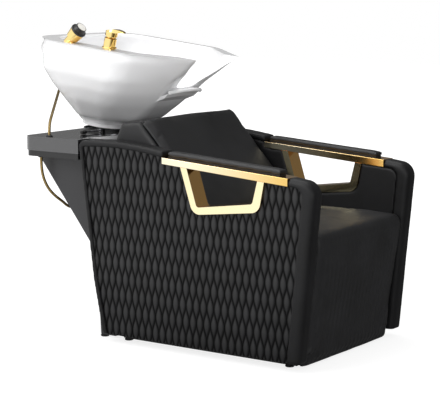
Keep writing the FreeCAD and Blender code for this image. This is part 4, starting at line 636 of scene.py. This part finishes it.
# Spray plate of the handset: a disc with rings of nozzles
def spray_plate():
    low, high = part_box("handset_face")
    centre = (low + high) / 2
    turn = HANDSET_AXIS.to_track_quat("Z", "Y").to_matrix().to_4x4()
    deselect()
    bpy.ops.mesh.primitive_cylinder_add(vertices=64, radius=0.0166, depth=0.0016)
    plate = bpy.context.active_object
    for ring, count in NOZZLE_RINGS:
        for k in range(count):
            angle = 2 * math.pi * k / count
            spot = (ring * math.cos(angle), ring * math.sin(angle), 0.0011)
            bpy.ops.mesh.primitive_cone_add(vertices=12, radius1=0.0011, radius2=0.0008, depth=0.0012,
                                            location=spot)
    joined("spray_plate", plate, "Cone")
    plate.data.transform(Matrix.Translation(centre + HANDSET_AXIS * 0.0012) @ turn)
    smooth_shading(plate, 30)
    dress(plate, "spray", "black_plastic")
    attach(plate, "hand_shower")


# Hoses
def route_curve(name, points, radius):
    curve = bpy.data.curves.new(name, "CURVE")
    curve.dimensions = "3D"
    spline = curve.splines.new("NURBS")
    spline.points.add(len(points) - 1)
    for place, point in zip(spline.points, points):
        place.co = (*point, 1)
    spline.order_u = 3
    spline.use_endpoint_u = True
    spline.resolution_u = 16
    curve.bevel_depth = radius
    curve.bevel_resolution = 6
    curve.use_fill_caps = True
    piece = bpy.data.objects.new(name, curve)
    bpy.context.scene.collection.objects.link(piece)
    return piece


def lower_hose():
    piece = route_curve("hose_loop", LOWER, HOSE_RADIUS)
    dress(piece, "hose_bronze", "hose_bronze", "hose_lower")
    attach(piece, "chair")


def upper_hose():
    """One end tips with the basin, the other stays in the deck; here the tube is one mesh with its transform
    baked, attached to neither.
    """
    route = route_curve("hose_route", UPPER, 0)
    line = bpy.data.meshes.new_from_object(route)
    bpy.data.objects.remove(route)
    only(route_curve("hose_tube", UPPER, HOSE_RADIUS))
    bpy.ops.object.convert(target="MESH")
    piece = bpy.context.active_object
    piece.name = "hose_drop"
    smooth_shading(piece)
    dress(piece, "hose_bronze", "hose_bronze", "hose_upper")
    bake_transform(piece)


# Light, floor and background
def area_light(name, place, aim, wide, high, power):
    data = bpy.data.lights.new(name, "AREA")
    data.shape = "RECTANGLE"
    data.size = wide
    data.size_y = high
    data.energy = power
    lamp = bpy.data.objects.new(name, data)
    bpy.context.scene.collection.objects.link(lamp)
    way = (Vector(aim) - Vector(place)).to_track_quat("-Z", "Y").to_matrix().to_4x4()
    lamp.matrix_world = Matrix.Translation(Vector(place)) @ way


def directed(tree, vector, start, end, dark, bright):
    """A value that grows from dark to bright toward the left rear, where the large softbox stands."""
    toward = add(tree, "VectorMath", {"operation": "DOT_PRODUCT"}, {1: BRIGHT_SIDE}, {0: vector})
    return ramp(tree, toward.outputs["Value"], start, end, dark, bright, smooth=True)


def make_floor():
    """White paper sweep: it keeps a soft shadow near the chair and runs out to plain white."""
    deselect()
    bpy.ops.mesh.primitive_plane_add(size=30, location=(0, 0, 0))
    floor = bpy.context.active_object
    floor.name = "floor"
    material = bpy.data.materials.new("white_paper_floor")
    material.use_nodes = True
    tree = material.node_tree
    tree.nodes.clear()
    place = add(tree, "TexCoord").outputs["Object"]
    ray = add(tree, "LightPath").outputs
    paper = add(tree, "BsdfDiffuse", None, {"Color": linear("F4F4F4")}).outputs["BSDF"]
    white = add(tree, "Emission", None, {"Strength": 1.25}).outputs["Emission"]
    reach = add(tree, "VectorMath", {"operation": "LENGTH"}, None, {0: place}).outputs["Value"]
    seen = maths(tree, "MULTIPLY", ray["Is Camera Ray"], ramp(tree, reach, 0.9, 2.2, 0.66, 1.0, smooth=True))
    plain = mix_shaders(tree, seen, paper, white)
    glow = add(tree, "Emission", None, None, {"Strength": directed(tree, place, -0.4, 2.4, 0.14, 1.15)})
    surface = mix_shaders(tree, ray["Is Glossy Ray"], plain, glow.outputs["Emission"])
    add(tree, "OutputMaterial", None, None, {"Surface": surface})
    floor.data.materials.append(material)


def make_world():
    """White to the camera, even light for matt surfaces, and bright only at the left rear for glossy ones."""
    world = bpy.data.worlds.new("studio")
    bpy.context.scene.world = world
    world.use_nodes = True
    tree = world.node_tree
    tree.nodes.clear()
    ray = add(tree, "LightPath").outputs
    way = add(tree, "TexCoord").outputs["Generated"]
    even = add(tree, "Background", None, {"Color": linear("FFFFFF"), "Strength": 0.57}).outputs["Background"]
    gloss = add(tree, "Background", None, {"Color": linear("FFFFFF")},
                {"Strength": directed(tree, way, -0.2, 0.85, 0.16, 1.15)}).outputs["Background"]
    white = add(tree, "Background", None, {"Color": linear("FFFFFF"), "Strength": 1.0}).outputs["Background"]
    lit = mix_shaders(tree, ray["Is Glossy Ray"], even, gloss)
    seen = maths(tree, "MAXIMUM", ray["Is Camera Ray"], ray["Is Transmission Ray"])
    add(tree, "OutputWorld", None, None, {"Surface": mix_shaders(tree, seen, lit, white)})


def make_studio():
    make_floor()
    make_world()
    middle = (0, 0, 0.5)
    area_light("key_softbox", (-3.4, 1.6, 3.4), middle, wide=2.4, high=2.4, power=84)
    area_light("top_softbox", (0.2, 0.4, 3.6), middle, wide=2.6, high=2.6, power=52)
    area_light("front_softbox", (-3.2, -4.0, 1.6), middle, wide=2.2, high=1.8, power=42)


make_camera()
LOOKS = make_looks()
dress_nodes()
lower_hose()
upper_hose()
for side, sign in (("left", -1), ("right", 1)):
    quilt_cover(side, sign)
    wrapped("front_wrap_" + side, "front_border_" + side, "smooth_cover", voxel_mm=4.5, bulge_mm=1.0)
    wrapped("rear_wrap_" + side, "rear_border_" + side, "smooth_cover", voxel_mm=4.5, bulge_mm=1.0)
    wrapped("lining_wrap_" + side, "side_lining_" + side, "smooth_cover", voxel_mm=5.0, bulge_mm=0.0, relax=2)
    arm_pad_piece(side)
seat_piece()
wrapped("back_wrap", "backrest_frame", "cushion_cover", voxel_mm=6.5, bulge_mm=1.0)
back_piece()
spray_plate()
waste_grid()
make_studio()
scene = bpy.context.scene
scene.view_settings.view_transform = "Standard"
